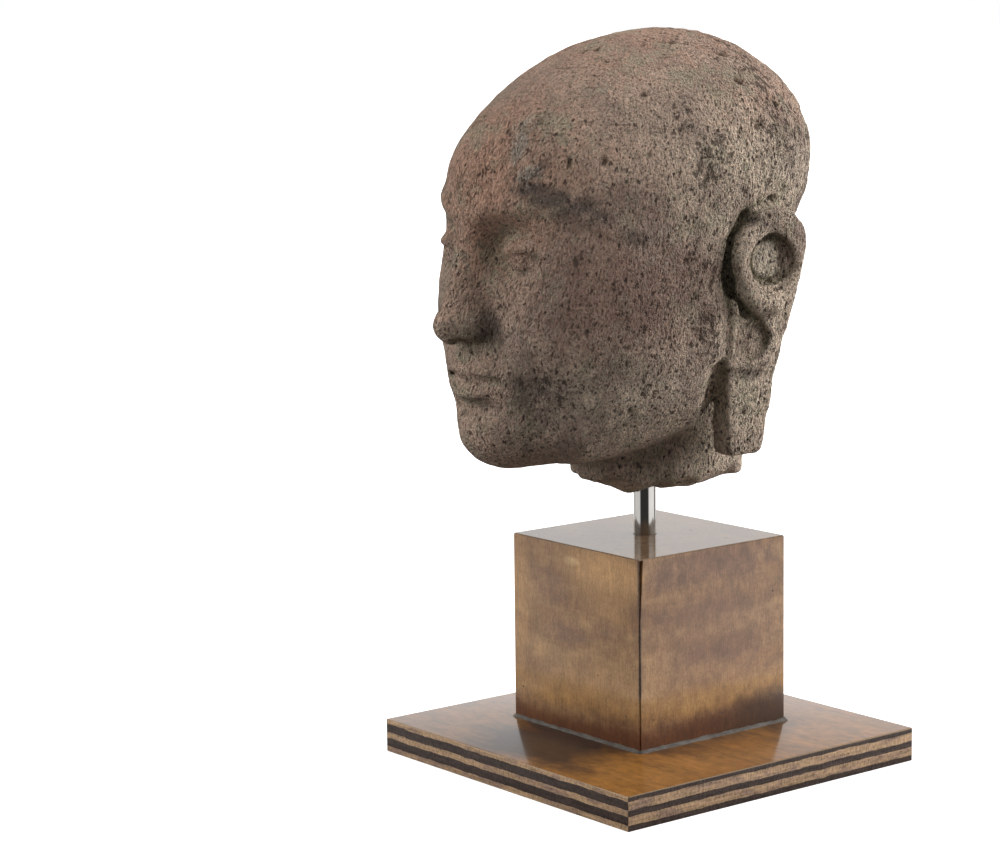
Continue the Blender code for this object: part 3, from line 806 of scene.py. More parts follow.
@dataclass(frozen=True)
class PorousStone:
    """Weathered volcanic stone, brown and mauve grey, full of small upright pores, worn and stained.

    The mesh gives it these attributes: warm, ochre, dusk, pale, dust, stain, hollow, open, rough, craggy and
    bedding.

    Attributes:
        body: Colour of the plain stone.
        dusky: Its greyer mottling.
        worn: Terracotta of the rubbed crown and forehead.
        rusty: Colour of the reddish flecks.
        olive: Tint of what has settled in the hollows, and of the greenish flecks.
        slate: Colour of the grey patches.
        ochre_and_painted_light: Lighter, yellower colour of the sides and back: partly the stone's own tone,
            partly painted light where the sides are lit.
        plum: Plum brown painted on the cheeks and temples, mostly as painted shade.
        painted_ear_light: Light cream painted on the ear hollow's floor and faintly over the whole ear, as
            painted light.
        sooty_and_shade: Colour of the dark stains, and of the painted shade along the back edge of the ear
            hollow and under the ear's ledge.
        pore: Dark colour painted inside the pores, pits and crags, as painted shade.
        grain: Colour of the light mineral grains.
        relief: How deep the fine relief is, in metres.
        lean: How far the pores lean back from upright, in degrees.
    """

    body: Colour = (0.462, 0.328, 0.250)
    dusky: Colour = (0.325, 0.243, 0.192)
    worn: Colour = (0.450, 0.258, 0.178)
    ochre_and_painted_light: Colour = (0.620, 0.495, 0.380)
    rusty: Colour = (0.340, 0.165, 0.105)
    olive: Colour = (0.375, 0.332, 0.232)
    slate: Colour = (0.310, 0.268, 0.215)
    plum: Colour = (0.215, 0.138, 0.110)
    painted_ear_light: Colour = (0.800, 0.690, 0.540)
    sooty_and_shade: Colour = (0.085, 0.068, 0.056)
    pore: Colour = (0.070, 0.042, 0.030)
    grain: Colour = (0.720, 0.680, 0.600)
    relief: float = 0.0050
    lean: float = 16.0

    def build(self) -> bpy.types.Material:
        """Builds the material."""
        stone = Shader("porous_stone", Roughness=0.82, Specular_IOR_Level=0.25)
        rough = stone.attribute("rough")
        craggy = stone.attribute("craggy")
        clouds = stone.noise((34.0, 34.0, 26.0), 5.0, 0.62)
        tints = stone.noise((46.0, 46.0, 46.0), 5.0, 0.65, 21.0)
        patches = stone.noise((110.0, 110.0, 75.0), 5.0, 0.65, 3.0)
        mealy = stone.noise((330.0, 330.0, 230.0), 4.0, 0.7, 27.0, self.lean)
        speckle = stone.noise((900.0, 900.0, 560.0), 2.0, 0.6, 7.0, self.lean)
        flecks = stone.noise((700.0, 700.0, 480.0), 3.0, 0.7, 29.0, self.lean)
        sand = stone.noise((1900.0, 1900.0, 1900.0), 2.0, 0.7, 17.0)

        def frayed(name: str, broad: float, fine: float, low: float, high: float) -> Signal:
            """A value stored with the mesh, its edge broken up by the patches and the mealy grain."""
            return (stone.attribute(name) + (patches - 0.5) * broad + (mealy - 0.5) * fine).above(low, high)

        # Sides and back painted lighter: partly the stone's ochre tone, partly painted light.
        light = stone.blend(stone.attribute("ochre_and_painted_light"), self.body, self.ochre_and_painted_light)
        colour = stone.blend(clouds.above(0.33, 0.60), self.dusky, light)
        colour = stone.blend(frayed("warm", 1.0, 0.4, 0.0, 1.0) * 0.9, colour, self.worn)
        colour = stone.blend((tints + (mealy - 0.5) * 0.3).above(0.50, 0.36) * 0.60, colour, self.olive)
        # Mostly painted shade: cheeks and temples darkened towards plum.
        colour = stone.blend(frayed("painted_cheek_shade", 0.9, 0.4, 0.05, 1.05) * 0.85, colour, self.plum)
        colour = stone.blend(flecks.above(0.50, 0.64) * 0.30, colour, self.rusty)
        colour = stone.blend(flecks.above(0.46, 0.34) * 0.20, colour, self.olive)
        earth = (stone.attribute("hollow") + (clouds - 0.5) * 0.6).above(0.35, 1.05)
        colour = stone.blend(earth * 0.75, colour, self.olive)
        # Painted light: the floor of the ear hollow and the whole ear made lighter.
        colour = stone.blend(stone.attribute("painted_ear_light").above(0.1, 0.8) * 0.6, colour, self.painted_ear_light)
        greyed = (tints + (mealy - 0.5) * 0.4).above(0.58, 0.70) * 0.25
        pale = frayed("pale", 1.4, 1.4, 0.30, 1.2)
        colour = stone.blend((greyed + pale * 0.75).above(0.0, 1.0), colour, self.slate)
        # Dark stains, and painted shade at the ear's hollow and ledge.
        colour = stone.blend(frayed("stain", 0.7, 1.0, 0.15, 1.0) * 0.85, colour, self.sooty_and_shade)
        salt = mealy.above(0.32, 0.68) * 0.32 + speckle.above(0.32, 0.68) * 0.60 + sand.above(0.3, 0.7) * 0.60
        colour = stone.shaded(colour, salt + 0.58)
        colour = stone.blend(speckle.above(0.54, 0.66) * pale * 0.8, colour, self.grain)

        worms = stone.noise((500.0, 500.0, 250.0), 3.0, 0.62, 13.0, self.lean)
        dents = (worms + (1.0 - rough) * 0.05).above(0.44, 0.35)
        crowd = (clouds - 0.5) * 1.2 + (rough - 1.0) * 0.5 + (craggy - 0.5) * 0.12
        ragged = (speckle - 0.5) * 0.9
        distance, chance = stone.cells((720.0, 720.0, 420.0), 5.0, self.lean)
        small = (distance + ragged).above(0.38, 0.16) * (chance + crowd * 0.6).above(0.30, 0.46)
        distance, chance = stone.cells((370.0, 370.0, 250.0), 6.0, self.lean)
        pits = (distance + ragged).above(0.42, 0.14) * (chance + crowd).above(0.70, 0.75)
        crags = stone.noise((250.0, 250.0, 190.0), 4.0, 0.68, 33.0, self.lean)
        crags = (crags + (1.0 - craggy) * 0.20).above(0.44, 0.38)
        layers = stone.noise((45.0, 45.0, 420.0), 3.0, 0.6, 19.0)
        bedding = layers.above(0.42, 0.30) * stone.attribute("bedding")
        # Painted shade: the pores, pits, crags and bedding grooves darkened inside.
        hole_shade = (dents * 0.42 + small * 0.68 + pits * 1.0 + crags * 1.00 + bedding * 0.45).above(0.0, 1.1)
        colour = stone.blend(hole_shade * 0.74, colour, self.pore)
        colour = stone.blend(stone.attribute("open").above(0.05, 0.8) * 0.75, colour, self.pore)
        distance, chance = stone.cells((800.0, 800.0, 800.0), 11.0)
        grains = distance.above(0.34, 0.14) * (chance + pale * 0.25).above(0.93, 0.96)
        colour = stone.blend(grains * 0.75, colour, self.grain)

        lumps = stone.noise((190.0, 190.0, 140.0), 3.0, 0.6, 9.0, self.lean)
        height = lumps * 0.70 + mealy * 0.90 + speckle * 0.75 + sand * 0.26
        height = height - (dents * 0.60 + small * 0.80 + pits * 1.10 + crags * 1.00 + bedding * 0.25)
        return stone.finish(colour, relief=height, depth=self.relief)


@dataclass(frozen=True)
class PolishedSteel:
    """Polished round bar.

    Attributes:
        colour: Colour of the clean metal.
        smudge: Colour where it is fingered.
    """

    colour: Colour = (0.62, 0.60, 0.57)
    smudge: Colour = (0.34, 0.31, 0.28)

    def build(self) -> bpy.types.Material:
        """Builds the material."""
        steel = Shader("polished_steel", Metallic=1.0)
        drawn = steel.noise((900.0, 900.0, 12.0), 3.0, 0.6)
        smudged = steel.noise((120.0, 120.0, 60.0), 3.0, 0.6, 4.0)
        colour = steel.blend(smudged.above(0.4, 0.75) * 0.25, self.colour, self.smudge)
        return steel.finish(colour, drawn * 0.05 + 0.09)


@dataclass(frozen=True)
class Smudge:
    """A patch of thin or thick stain on the box; two are painted shade on the right side and the dark ones at
    the foot a painted reflection of the plate.

    Attributes:
        colour: What it is tinted towards.
        centre: Its middle.
        radii: Its half sizes.
        strength: How strongly it shows.
    """

    colour: Colour
    centre: Scale
    radii: Scale
    strength: float


TAN: Colour = (0.470, 0.265, 0.110)
PLUM: Colour = (0.150, 0.074, 0.050)
# Dark red-brown painted at the boards' foot: a painted reflection of the dark plate.
DARK_FOOT_REFLECTION: Colour = (0.088, 0.024, 0.003)
SOOT: Colour = (0.035, 0.026, 0.020)
SCAR: Colour = (0.560, 0.360, 0.170)

# The sides of the box. The near arris stands where the right one meets the front.
RIGHT_X, FRONT_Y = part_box("box_right")[1].x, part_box("box_front")[0].y
LEFT_X, BACK_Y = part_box("box_left")[0].x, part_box("box_back")[1].y

SMUDGES = (
    Smudge(TAN, (0.018, FRONT_Y, 0.1100), (0.038, 0.010, 0.017), 0.95),
    Smudge(TAN, (-0.0530, FRONT_Y, 0.0800), (0.008, 0.010, 0.050), 0.55),
    Smudge(TAN, (0.022, FRONT_Y, 0.0890), (0.018, 0.010, 0.009), 0.35),
    Smudge(TAN, (0.000, FRONT_Y, 0.0470), (0.036, 0.010, 0.007), 0.50),
    Smudge(PLUM, (-0.028, FRONT_Y, 0.0960), (0.022, 0.010, 0.012), 0.40),
    Smudge(PLUM, (-0.014, FRONT_Y, 0.0720), (0.020, 0.010, 0.009), 0.50),
    Smudge(PLUM, (0.020, FRONT_Y, 0.0780), (0.016, 0.010, 0.007), 0.35),
    Smudge(PLUM, (RIGHT_X, -0.026, 0.1060), (0.010, 0.013, 0.009), 0.50),
    Smudge(PLUM, (RIGHT_X, 0.004, 0.0860), (0.010, 0.030, 0.006), 0.30),
    Smudge(PLUM, (RIGHT_X, 0.012, 0.0620), (0.010, 0.034, 0.006), 0.30),
    Smudge(TAN, (RIGHT_X, 0.002, 0.0970), (0.010, 0.045, 0.006), 0.35),
    Smudge(TAN, (RIGHT_X, 0.006, 0.0520), (0.010, 0.048, 0.008), 0.45),
    Smudge(TAN, (RIGHT_X, -0.012, 0.0740), (0.010, 0.030, 0.006), 0.25),
    Smudge(SCAR, (-0.0090, FRONT_Y, 0.1112), (0.0068, 0.004, 0.0026), 0.95),
    Smudge(SOOT, (RIGHT_X, 0.0565, 0.0260), (0.006, 0.0042, 0.0110), 0.70),
    Smudge(SOOT, (RIGHT_X, FRONT_Y, 0.1080), (0.0020, 0.0024, 0.0180), 0.95),
    Smudge(SOOT, (RIGHT_X, FRONT_Y, 0.0600), (0.0012, 0.0014, 0.0700), 0.95),
    # Painted reflection of the dark plate at the foot.
    Smudge(DARK_FOOT_REFLECTION, (RIGHT_X, 0.040, 0.0240), (0.010, 0.024, 0.016), 0.70),
    Smudge(DARK_FOOT_REFLECTION, (RIGHT_X, 0.000, 0.0230), (0.010, 0.050, 0.013), 0.45),
    Smudge(DARK_FOOT_REFLECTION, (0.0300, FRONT_Y, 0.0230), (0.022, 0.010, 0.011), 0.45),
    # Painted shade: the right side darkened all over and along its top.
    Smudge(PLUM, (RIGHT_X, 0.008, 0.0800), (0.010, 0.070, 0.050), 0.50),
    Smudge(PLUM, (RIGHT_X, 0.010, 0.1120), (0.010, 0.060, 0.011), 0.60),
    Smudge(PLUM, (LEFT_X, 0.010, 0.0900), (0.010, 0.030, 0.014), 0.50),
    Smudge(TAN, (LEFT_X, -0.010, 0.0600), (0.010, 0.034, 0.010), 0.45),
    Smudge(PLUM, (0.004, BACK_Y, 0.0640), (0.034, 0.010, 0.012), 0.50),
    Smudge(TAN, (-0.012, BACK_Y, 0.0980), (0.034, 0.010, 0.010), 0.45),
)


@dataclass(frozen=True)
class StainedBoxWood:
    """Board stained brown and varnished to a gloss, its grain upright, or along x on the top.

    Attributes:
        upright: Whether this is for the upright boards.
        body: Colour of the stained wood.
        light: Colour where the stain is thin.
        golden: Colour of the band above the dark foot.
        burnt: Colour of the foot at the far end of the right side.
        deep: What the top is darkened with.
        foot_level: Where the boards stand; towards it they are painted darker, as a painted reflection of the
            dark plate.
    """

    upright: bool = True
    body: Colour = (0.250, 0.130, 0.054)
    light: Colour = (0.375, 0.216, 0.095)
    golden: Colour = (0.320, 0.155, 0.030)
    burnt: Colour = (0.040, 0.017, 0.005)
    deep: Colour = (0.110, 0.066, 0.036)
    foot_level: float = 0.018

    def build(self) -> bpy.types.Material:
        """Builds the material."""
        name = "stained_box_wood" if self.upright else "stained_box_wood_top"
        coat_index, coat_roughness = (1.45, 0.26) if self.upright else (1.75, 0.07)
        wood = Shader(
            name,
            Roughness=0.5,
            Specular_IOR_Level=0.12,
            Coat_Weight=1.0,
            Coat_Roughness=coat_roughness,
            Coat_IOR=coat_index,
        )
        fine, broad, cloudy = (1300.0, 1300.0, 150.0), (300.0, 300.0, 22.0), (16.0, 16.0, 62.0)
        if not self.upright:
            fine, broad, cloudy = (150.0, 1300.0, 1300.0), (22.0, 300.0, 300.0), (40.0, 40.0, 40.0)
        fibres = wood.noise(fine, 3.0, 0.65)
        bands = wood.noise(broad, 3.0, 0.6, 2.0)
        clouds = wood.noise(cloudy, 4.0, 0.6, 5.0)
        mottle = wood.noise((130.0, 130.0, 110.0), 5.0, 0.7, 8.0)
        colour = wood.blend(clouds.above(0.36, 0.66), self.body, self.light)
        if self.upright:
            for smudge in SMUDGES:
                share = wood.spot(smudge.centre, smudge.radii, mottle, 1.1) * smudge.strength
                colour = wood.blend(share, colour, smudge.colour)
            level = wood.place.part(2) + (clouds - 0.5) * 0.008 + (mottle - 0.5) * 0.006
            foot = self.foot_level
            colour = wood.blend(level.within(foot + 0.018, foot + 0.024, 0.008) * 0.6, colour, self.golden)
            # Darker towards the foot: painted reflection of the dark plate.
            colour = wood.blend(level.above(foot + 0.023, foot + 0.004) * 0.95, colour, DARK_FOOT_REFLECTION)
            far_end = wood.place.part(1).above(-0.01, 0.05) * level.above(foot + 0.026, foot + 0.006)
            colour = wood.blend(far_end * 0.85, colour, self.burnt)
        dots = wood.noise((1500.0, 1500.0, 700.0), 2.0, 0.7, 9.0)
        colour = wood.shaded(colour, mottle.above(0.3, 0.7) * 0.34 + dots.above(0.25, 0.75) * 0.36 + 0.65)
        colour = wood.shaded(colour, fibres.above(0.25, 0.75) * 0.32 + bands.above(0.3, 0.7) * 0.08 + 0.80)
        if not self.upright:
            colour = wood.blend(0.55, colour, self.deep)
        return wood.finish(colour, mottle * 0.14 + 0.42, fibres + dots, 0.00006)


@dataclass(frozen=True)
class VarnishedPlywood:
    """Plywood of five plies: a dark glossy face and edges that show the plies.

    Attributes:
        thickness: Thickness of the board, its underside at z = 0.
        edges: Where one ply ends and the next begins, from the top down.
        blur: How softly one ply gives way to the next.
        face: Colour of the face.
        deep: Colour of its dark clouds and of the painted shadow round the box's foot.
        light: Colour of a ply cut along its grain.
        dark: Colour of a ply cut across its grain.
        mauve: What a light ply is tinted with here and there.
        rubbed: Light colour painted along the upper arris, as a painted highlight.
    """

    thickness: float
    edges: tuple[float, ...] = (0.0027, 0.0072, 0.0104, 0.0149)
    blur: float = 0.0002
    face: Colour = (0.270, 0.112, 0.020)
    deep: Colour = (0.042, 0.014, 0.003)
    light: Colour = (0.390, 0.255, 0.150)
    dark: Colour = (0.055, 0.038, 0.032)
    mauve: Colour = (0.230, 0.150, 0.115)
    rubbed: Colour = (0.50, 0.36, 0.22)

    def build(self) -> bpy.types.Material:
        """Builds the material."""
        wood = Shader(
            "varnished_plywood",
            Roughness=0.5,
            Specular_IOR_Level=0.1,
            Coat_Weight=1.0,
            Coat_Roughness=0.12,
            Coat_IOR=1.4,
        )
        normal = wood.make("ShaderNodeNewGeometry", {}, {}, "Normal")
        sideways = normal.part(0).maths("ABSOLUTE", normal.part(0)).above(0.5, 0.6)
        upward = normal.part(2).above(0.5, 0.7)
        wavy = (wood.noise((80.0, 80.0, 30.0), 4.0, 0.6) - 0.5) * 0.0022
        depth = self.thickness - wood.place.part(2) + wavy
        steps = [depth.above(edge - self.blur, edge + self.blur) for edge in self.edges]
        odd = steps[0] - steps[1] + steps[2] - steps[3]
        ply = odd + sideways - odd * sideways * 2.0
        fibres = wood.noise((30.0, 500.0, 900.0), 4.0, 0.7)
        turned_fibres = wood.noise((500.0, 30.0, 900.0), 4.0, 0.7)
        streaks = fibres + (turned_fibres - fibres) * sideways
        flecks = wood.noise((700.0, 700.0, 420.0), 4.0, 0.75, 12.0)
        tints = wood.noise((60.0, 60.0, 160.0), 3.0, 0.6, 14.0)
        light = wood.blend(tints.above(0.45, 0.62) * 0.75, self.light, self.mauve)
        smears = wood.noise((90.0, 90.0, 420.0), 5.0, 0.7, 18.0)
        mixed = ply + (flecks - 0.5) * 1.0 + (smears - 0.5) * 1.3
        edge_colour = wood.blend(mixed.above(0.2, 0.8), light, self.dark)
        grain = streaks.above(0.25, 0.75) * 0.6 + flecks.above(0.3, 0.7) * 0.8
        edge_colour = wood.shaded(edge_colour, grain + smears.above(0.35, 0.65) * 0.3 + 0.15)
        # Painted highlight: the upper arris lightened towards cream.
        worn = wood.place.part(2).above(self.thickness - 0.0009, self.thickness - 0.0002)
        edge_colour = wood.blend(worn * 0.6, edge_colour, self.rubbed)
        clouds = wood.noise((22.0, 34.0, 20.0), 4.0, 0.6, 6.0)
        flames = wood.noise((9.0, 120.0, 9.0), 4.0, 0.65, 6.0)
        pores = wood.noise((60.0, 1200.0, 60.0), 2.0, 0.6, 8.0)
        # Painted shadow: the plate darkened under and in front of the box.
        under_box, near_edge = (-0.007, 0.008, self.thickness), (-0.004, -0.068, self.thickness)
        shadow = wood.spot(under_box, (0.072, 0.072, 0.010), clouds, 0.9) * 0.75
        shadow = shadow + wood.spot(near_edge, (0.070, 0.030, 0.010), clouds, 1.0) * 0.9
        dark = (clouds.above(0.60, 0.36) * 0.35 + shadow).above(0.0, 1.0)
        top = wood.blend(dark, self.face, self.deep)
        blotches = wood.noise((110.0, 190.0, 60.0), 5.0, 0.7, 16.0)
        figure = blotches.above(0.28, 0.72) * 0.5 + flames.above(0.3, 0.7) * 0.25
        top = wood.shaded(top, figure + pores.above(0.3, 0.7) * 0.15 + 0.45)
        colour = wood.blend(upward, edge_colour, top)
        return wood.finish(colour, clouds * 0.1 + 0.36, pores, 0.00002, upward * 0.9 + 0.1)


@dataclass(frozen=True)
class FootFiller:
    """Varnished filler, grey and brown by turns.

    Attributes:
        grey: Its lighter colour.
        brown: Its darker colour.
        depth: How deep its unevenness is.
    """

    grey: Colour = (0.090, 0.070, 0.050)
    brown: Colour = (0.045, 0.024, 0.012)
    depth: float = 0.0004

    def build(self) -> bpy.types.Material:
        """Builds the material."""
        filler = Shader("foot_filler", Roughness=0.5, Coat_Weight=0.4, Coat_Roughness=0.35)
        clouds = filler.noise((120.0, 120.0, 300.0), 4.0, 0.65)
        colour = filler.blend(clouds.above(0.38, 0.62), self.brown, self.grey)
        return filler.finish(colour, relief=clouds, depth=self.depth)


def plain(name: str, colour: Colour, **constants: object) -> bpy.types.Material:
    """A material of one colour."""
    return Shader(name, Base_Color=(*colour, 1.0), **constants).material


# Modelling


def select_only(*things: bpy.types.Object) -> None:
    """Makes these the only selected objects, and the first of them the active one."""
    bpy.ops.object.select_all(action="DESELECT")
    for thing in things:
        thing.select_set(True)
    bpy.context.view_layer.objects.active = things[0]


def begin_edit(thing: bpy.types.Object) -> bmesh.types.BMesh:
    """Makes this the only selected object, opens it for editing and selects nothing in it."""
    select_only(thing)
    bpy.ops.object.mode_set(mode="EDIT")
    bpy.ops.mesh.select_all(action="DESELECT")
    return bmesh.from_edit_mesh(thing.data)


def end_edit() -> None:
    """Closes the object being edited."""
    bpy.ops.object.mode_set(mode="OBJECT")


def settle_in_mesh(thing: bpy.types.Object, name: str) -> bpy.types.Object:
    """Names a new object and moves its place and size into its mesh."""
    thing.name = thing.data.name = name
    select_only(thing)
    bpy.ops.object.transform_apply(location=True, rotation=True, scale=True)
    return thing


def meshed(name: str, points: list, faces: list) -> bpy.types.Object:
    """A new object from its points and faces."""
    mesh = bpy.data.meshes.new(name)
    mesh.from_pydata(points, [], faces)
    thing = bpy.data.objects.new(name, mesh)
    bpy.context.scene.collection.objects.link(thing)
    return thing


def block(name: str, low: Vector, high: Vector) -> bpy.types.Object:
    """A box between two corners."""
    bpy.ops.mesh.primitive_cube_add(size=1.0, location=(low + high) / 2, scale=high - low)
    return settle_in_mesh(bpy.context.active_object, name)


def bevel_edges(thing: bpy.types.Object, chosen: Callable, width: float, segments: int) -> None:
    """Rounds the edges for which chosen(edge) is true."""
    shape = begin_edit(thing)
    bpy.ops.mesh.select_mode(type="EDGE")
    for edge in shape.edges:
        edge.select_set(bool(chosen(edge)))
    bmesh.update_edit_mesh(thing.data)
    bpy.ops.mesh.bevel(offset=width, segments=segments, profile=0.5, affect="EDGES")
    end_edit()


def shade(thing: bpy.types.Object, degrees: float) -> None:
    """Smooth shading that keeps edges sharper than this angle."""
    select_only(thing)
    bpy.ops.object.shade_smooth_by_angle(angle=math.radians(degrees))


def hand_over(
    thing: bpy.types.Object, material: bpy.types.Material, slot: Slot, *nodes: str
) -> bpy.types.Object:
    """Gives a finished piece its material and its place in the model.

    Args:
        thing: The piece.
        material: Its finish.
        slot: The record's slot it is finished from; not used.
        nodes: The solids it stands for.

    Returns:
        The piece.
    """
    thing.data.materials.clear()
    thing.data.materials.append(material)
    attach(thing, ROOT)
    if nodes:
        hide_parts(*nodes)
    log.info("%s: %d faces, for %s", thing.name, len(thing.data.polygons), ", ".join(nodes) or "detail")
    return thing


def drill(thing: bpy.types.Object, low: float, high: float) -> None:
    """Cuts the rod's hole between two levels."""
    rod_low, rod_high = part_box("mount_rod")
    centre = (rod_low + rod_high) / 2
    bpy.ops.mesh.primitive_cylinder_add(
        vertices=64,
        radius=(rod_high.x - rod_low.x) / 2 + CLEARANCE,
        depth=high - low,
        location=(centre.x, centre.y, (low + high) / 2),
    )
    bit = bpy.context.active_object
    hole = thing.modifiers.new("rod_hole", "BOOLEAN")
    hole.operation, hole.solver, hole.object = "DIFFERENCE", "EXACT", bit
    bpy.context.view_layer.objects.active = thing
    bpy.ops.object.modifier_apply(modifier=hole.name)
    bpy.data.objects.remove(bit)


def trim(thing: bpy.types.Object, planes: Sequence[tuple[Vector, Vector]]) -> None:
    """Cuts away what lies outside each plane, a point with an outward direction, and closes the cut."""
    for point, outward in planes:
        begin_edit(thing)
        bpy.ops.mesh.select_all(action="SELECT")
        bpy.ops.mesh.bisect(plane_co=point, plane_no=outward, use_fill=True, clear_outer=True)
        end_edit()


# The object


@dataclass(frozen=True)
class Patch:
    """A place on the carving that differs, as an egg in the head's axes that fades towards its edge.

    Attributes:
        kind: The stored value that it adds to.
        centre: Its middle.
        radii: Its half sizes.
        strength: The value in its middle.
        fray: How ragged its edge is.
    """

    kind: str
    centre: tuple[float, float, float]
    radii: tuple[float, float, float]
    strength: float = 1.0
    fray: float = 1.0


PATCHES = (
    Patch("warm", (4.0, -38.0, 66.0), (26.0, 20.0, 26.0), 0.85),
    Patch("warm", (0.0, 5.0, 100.0), (40.0, 46.0, 20.0), 0.60),
    Patch("warm", (30.0, 22.0, 84.0), (20.0, 20.0, 14.0), 0.50),
    Patch("warm", (-26.0, -20.0, 74.0), (18.0, 26.0, 24.0), 0.50),
    Patch("warm", (28.0, -26.0, 44.0), (10.0, 12.0, 10.0), 0.55),
    Patch("pale", (12.5, -41.0, 76.0), (3.6, 9.0, 9.0), 1.0),
    Patch("pale", (16.5, -38.0, 68.0), (3.6, 9.0, 8.0), 0.9),
    # Painted shade: a dark line along the back edge of the hollow inside the ear's ring.
    Patch("stain", (36.2, 18.2, 46.4), (1.6, 1.1, 5.0), 0.6, 0.1),
    # Painted shade under the ear's ledge.
    Patch("stain", (36.0, 9.4, 19.6), (4.0, 6.0, 1.8), 0.75, 0.3),
    Patch("stain", (38.5, 9.0, 55.8), (2.4, 4.0, 1.8), 0.9, 0.3),
    Patch("pale", (36.0, 10.0, 20.6), (4.0, 5.0, 1.6), 0.8, 0.3),
    # Mostly painted shade on the cheeks and temples, on both sides.
    Patch("painted_cheek_shade", (31.0, -14.0, 41.0), (14.0, 23.0, 15.0), 1.0),
    Patch("painted_cheek_shade", (24.0, -28.0, 42.0), (14.0, 14.0, 18.0), 0.85),
    Patch("painted_cheek_shade", (31.0, -18.0, 58.0), (10.0, 16.0, 9.0), 0.6),
    Patch("painted_cheek_shade", (-31.0, -4.0, 40.0), (14.0, 26.0, 24.0), 0.8),
    Patch("stain", (15.5, -36.0, 80.0), (2.0, 9.0, 9.0), 0.55),
    Patch("stain", (18.5, -36.0, 71.0), (1.4, 9.0, 8.0), 0.60),
    Patch("stain", (9.0, -42.0, 77.0), (1.8, 8.0, 8.0), 0.45),
    Patch("stain", (18.0, -38.0, 63.6), (5.0, 9.0, 2.8), 1.10, 0.5),
    Patch("stain", (21.0, -34.5, 61.6), (5.0, 8.0, 2.8), 1.15, 0.5),
    Patch("stain", (24.0, -31.0, 59.2), (5.0, 8.0, 2.8), 1.10, 0.5),
    Patch("stain", (27.5, -26.0, 56.6), (5.0, 7.0, 2.8), 0.95, 0.5),
    Patch("stain", (31.5, -19.0, 53.6), (5.0, 7.0, 2.6), 0.80, 0.5),
    Patch("stain", (35.0, -7.0, 52.5), (5.0, 5.0, 3.2), 0.60),
    Patch("stain", (7.0, -45.0, 34.0), (5.0, 7.0, 6.0), 0.85),
    Patch("stain", (18.0, -36.0, 18.0), (10.0, 12.0, 10.0), 0.85),
    Patch("stain", (26.0, -24.0, 24.0), (9.0, 12.0, 9.0), 0.6),
    Patch("stain", (12.0, -34.0, 6.0), (9.0, 9.0, 6.0), 0.5),
    Patch("stain", (33.0, 22.0, 74.0), (10.0, 12.0, 14.0), 0.55),
    Patch("stain", (-24.0, -30.0, 40.0), (12.0, 12.0, 16.0), 0.6),
    Patch("stain", (-20.0, 34.0, 60.0), (14.0, 12.0, 18.0), 0.6),
)


class Regions:
    """Where the head's parts lie: for each point a share, 0 outside a part and 1 well inside it."""

    def __init__(self, carving: Carving, points: Array) -> None:
        """Works out the shares.

        Args:
            carving: The head's form.
            points: Points on it.
        """
        x, y, z = points.T
        self.points, self.out, self.y, self.z = points, np.abs(x), y, z
        self.back = rising(y, -6.0, 26.0) * rising(z, 40.0, 60.0)
        self.crown = rising(z, 88.0, 98.0) * rising(lattice_noise(points, 14.0, 31), -0.1, 0.5)
        self.side = rising(self.out, 18.0, 32.0)
        self.forehead = rising(-y, 20.0, 34.0) * rising(z, 56.0, 66.0)
        self.face = rising(-y, 24.0, 34.0) * (1.0 - rising(z, 60.0, 68.0))
        self.jaw = rising(self.out, 14.0, 24.0) * (1.0 - rising(z, 26.0, 40.0))
        self.ear = rising(self.out, 32.0, 35.0) * rising(y, -1.0, 3.0) * (1.0 - rising(z, 58.0, 64.0))
        before = rising(y, -14.0, -4.0) * (1.0 - rising(y, 2.0, 8.0))
        self.before_ear = rising(self.out, 26.0, 31.0) * before * rising(z, 14.0, 26.0)
        ear_floor = rising(self.out, 33.5, 35.0) * (1.0 - rising(self.out, 36.6, 37.6))
        self.ear_floor = ear_floor * rising(-carving.ear_oval(points), 1.2, 1.9)
        self.near_hole = 1.0 - rising(carving.rod_hole(points), 0.6, 2.0)


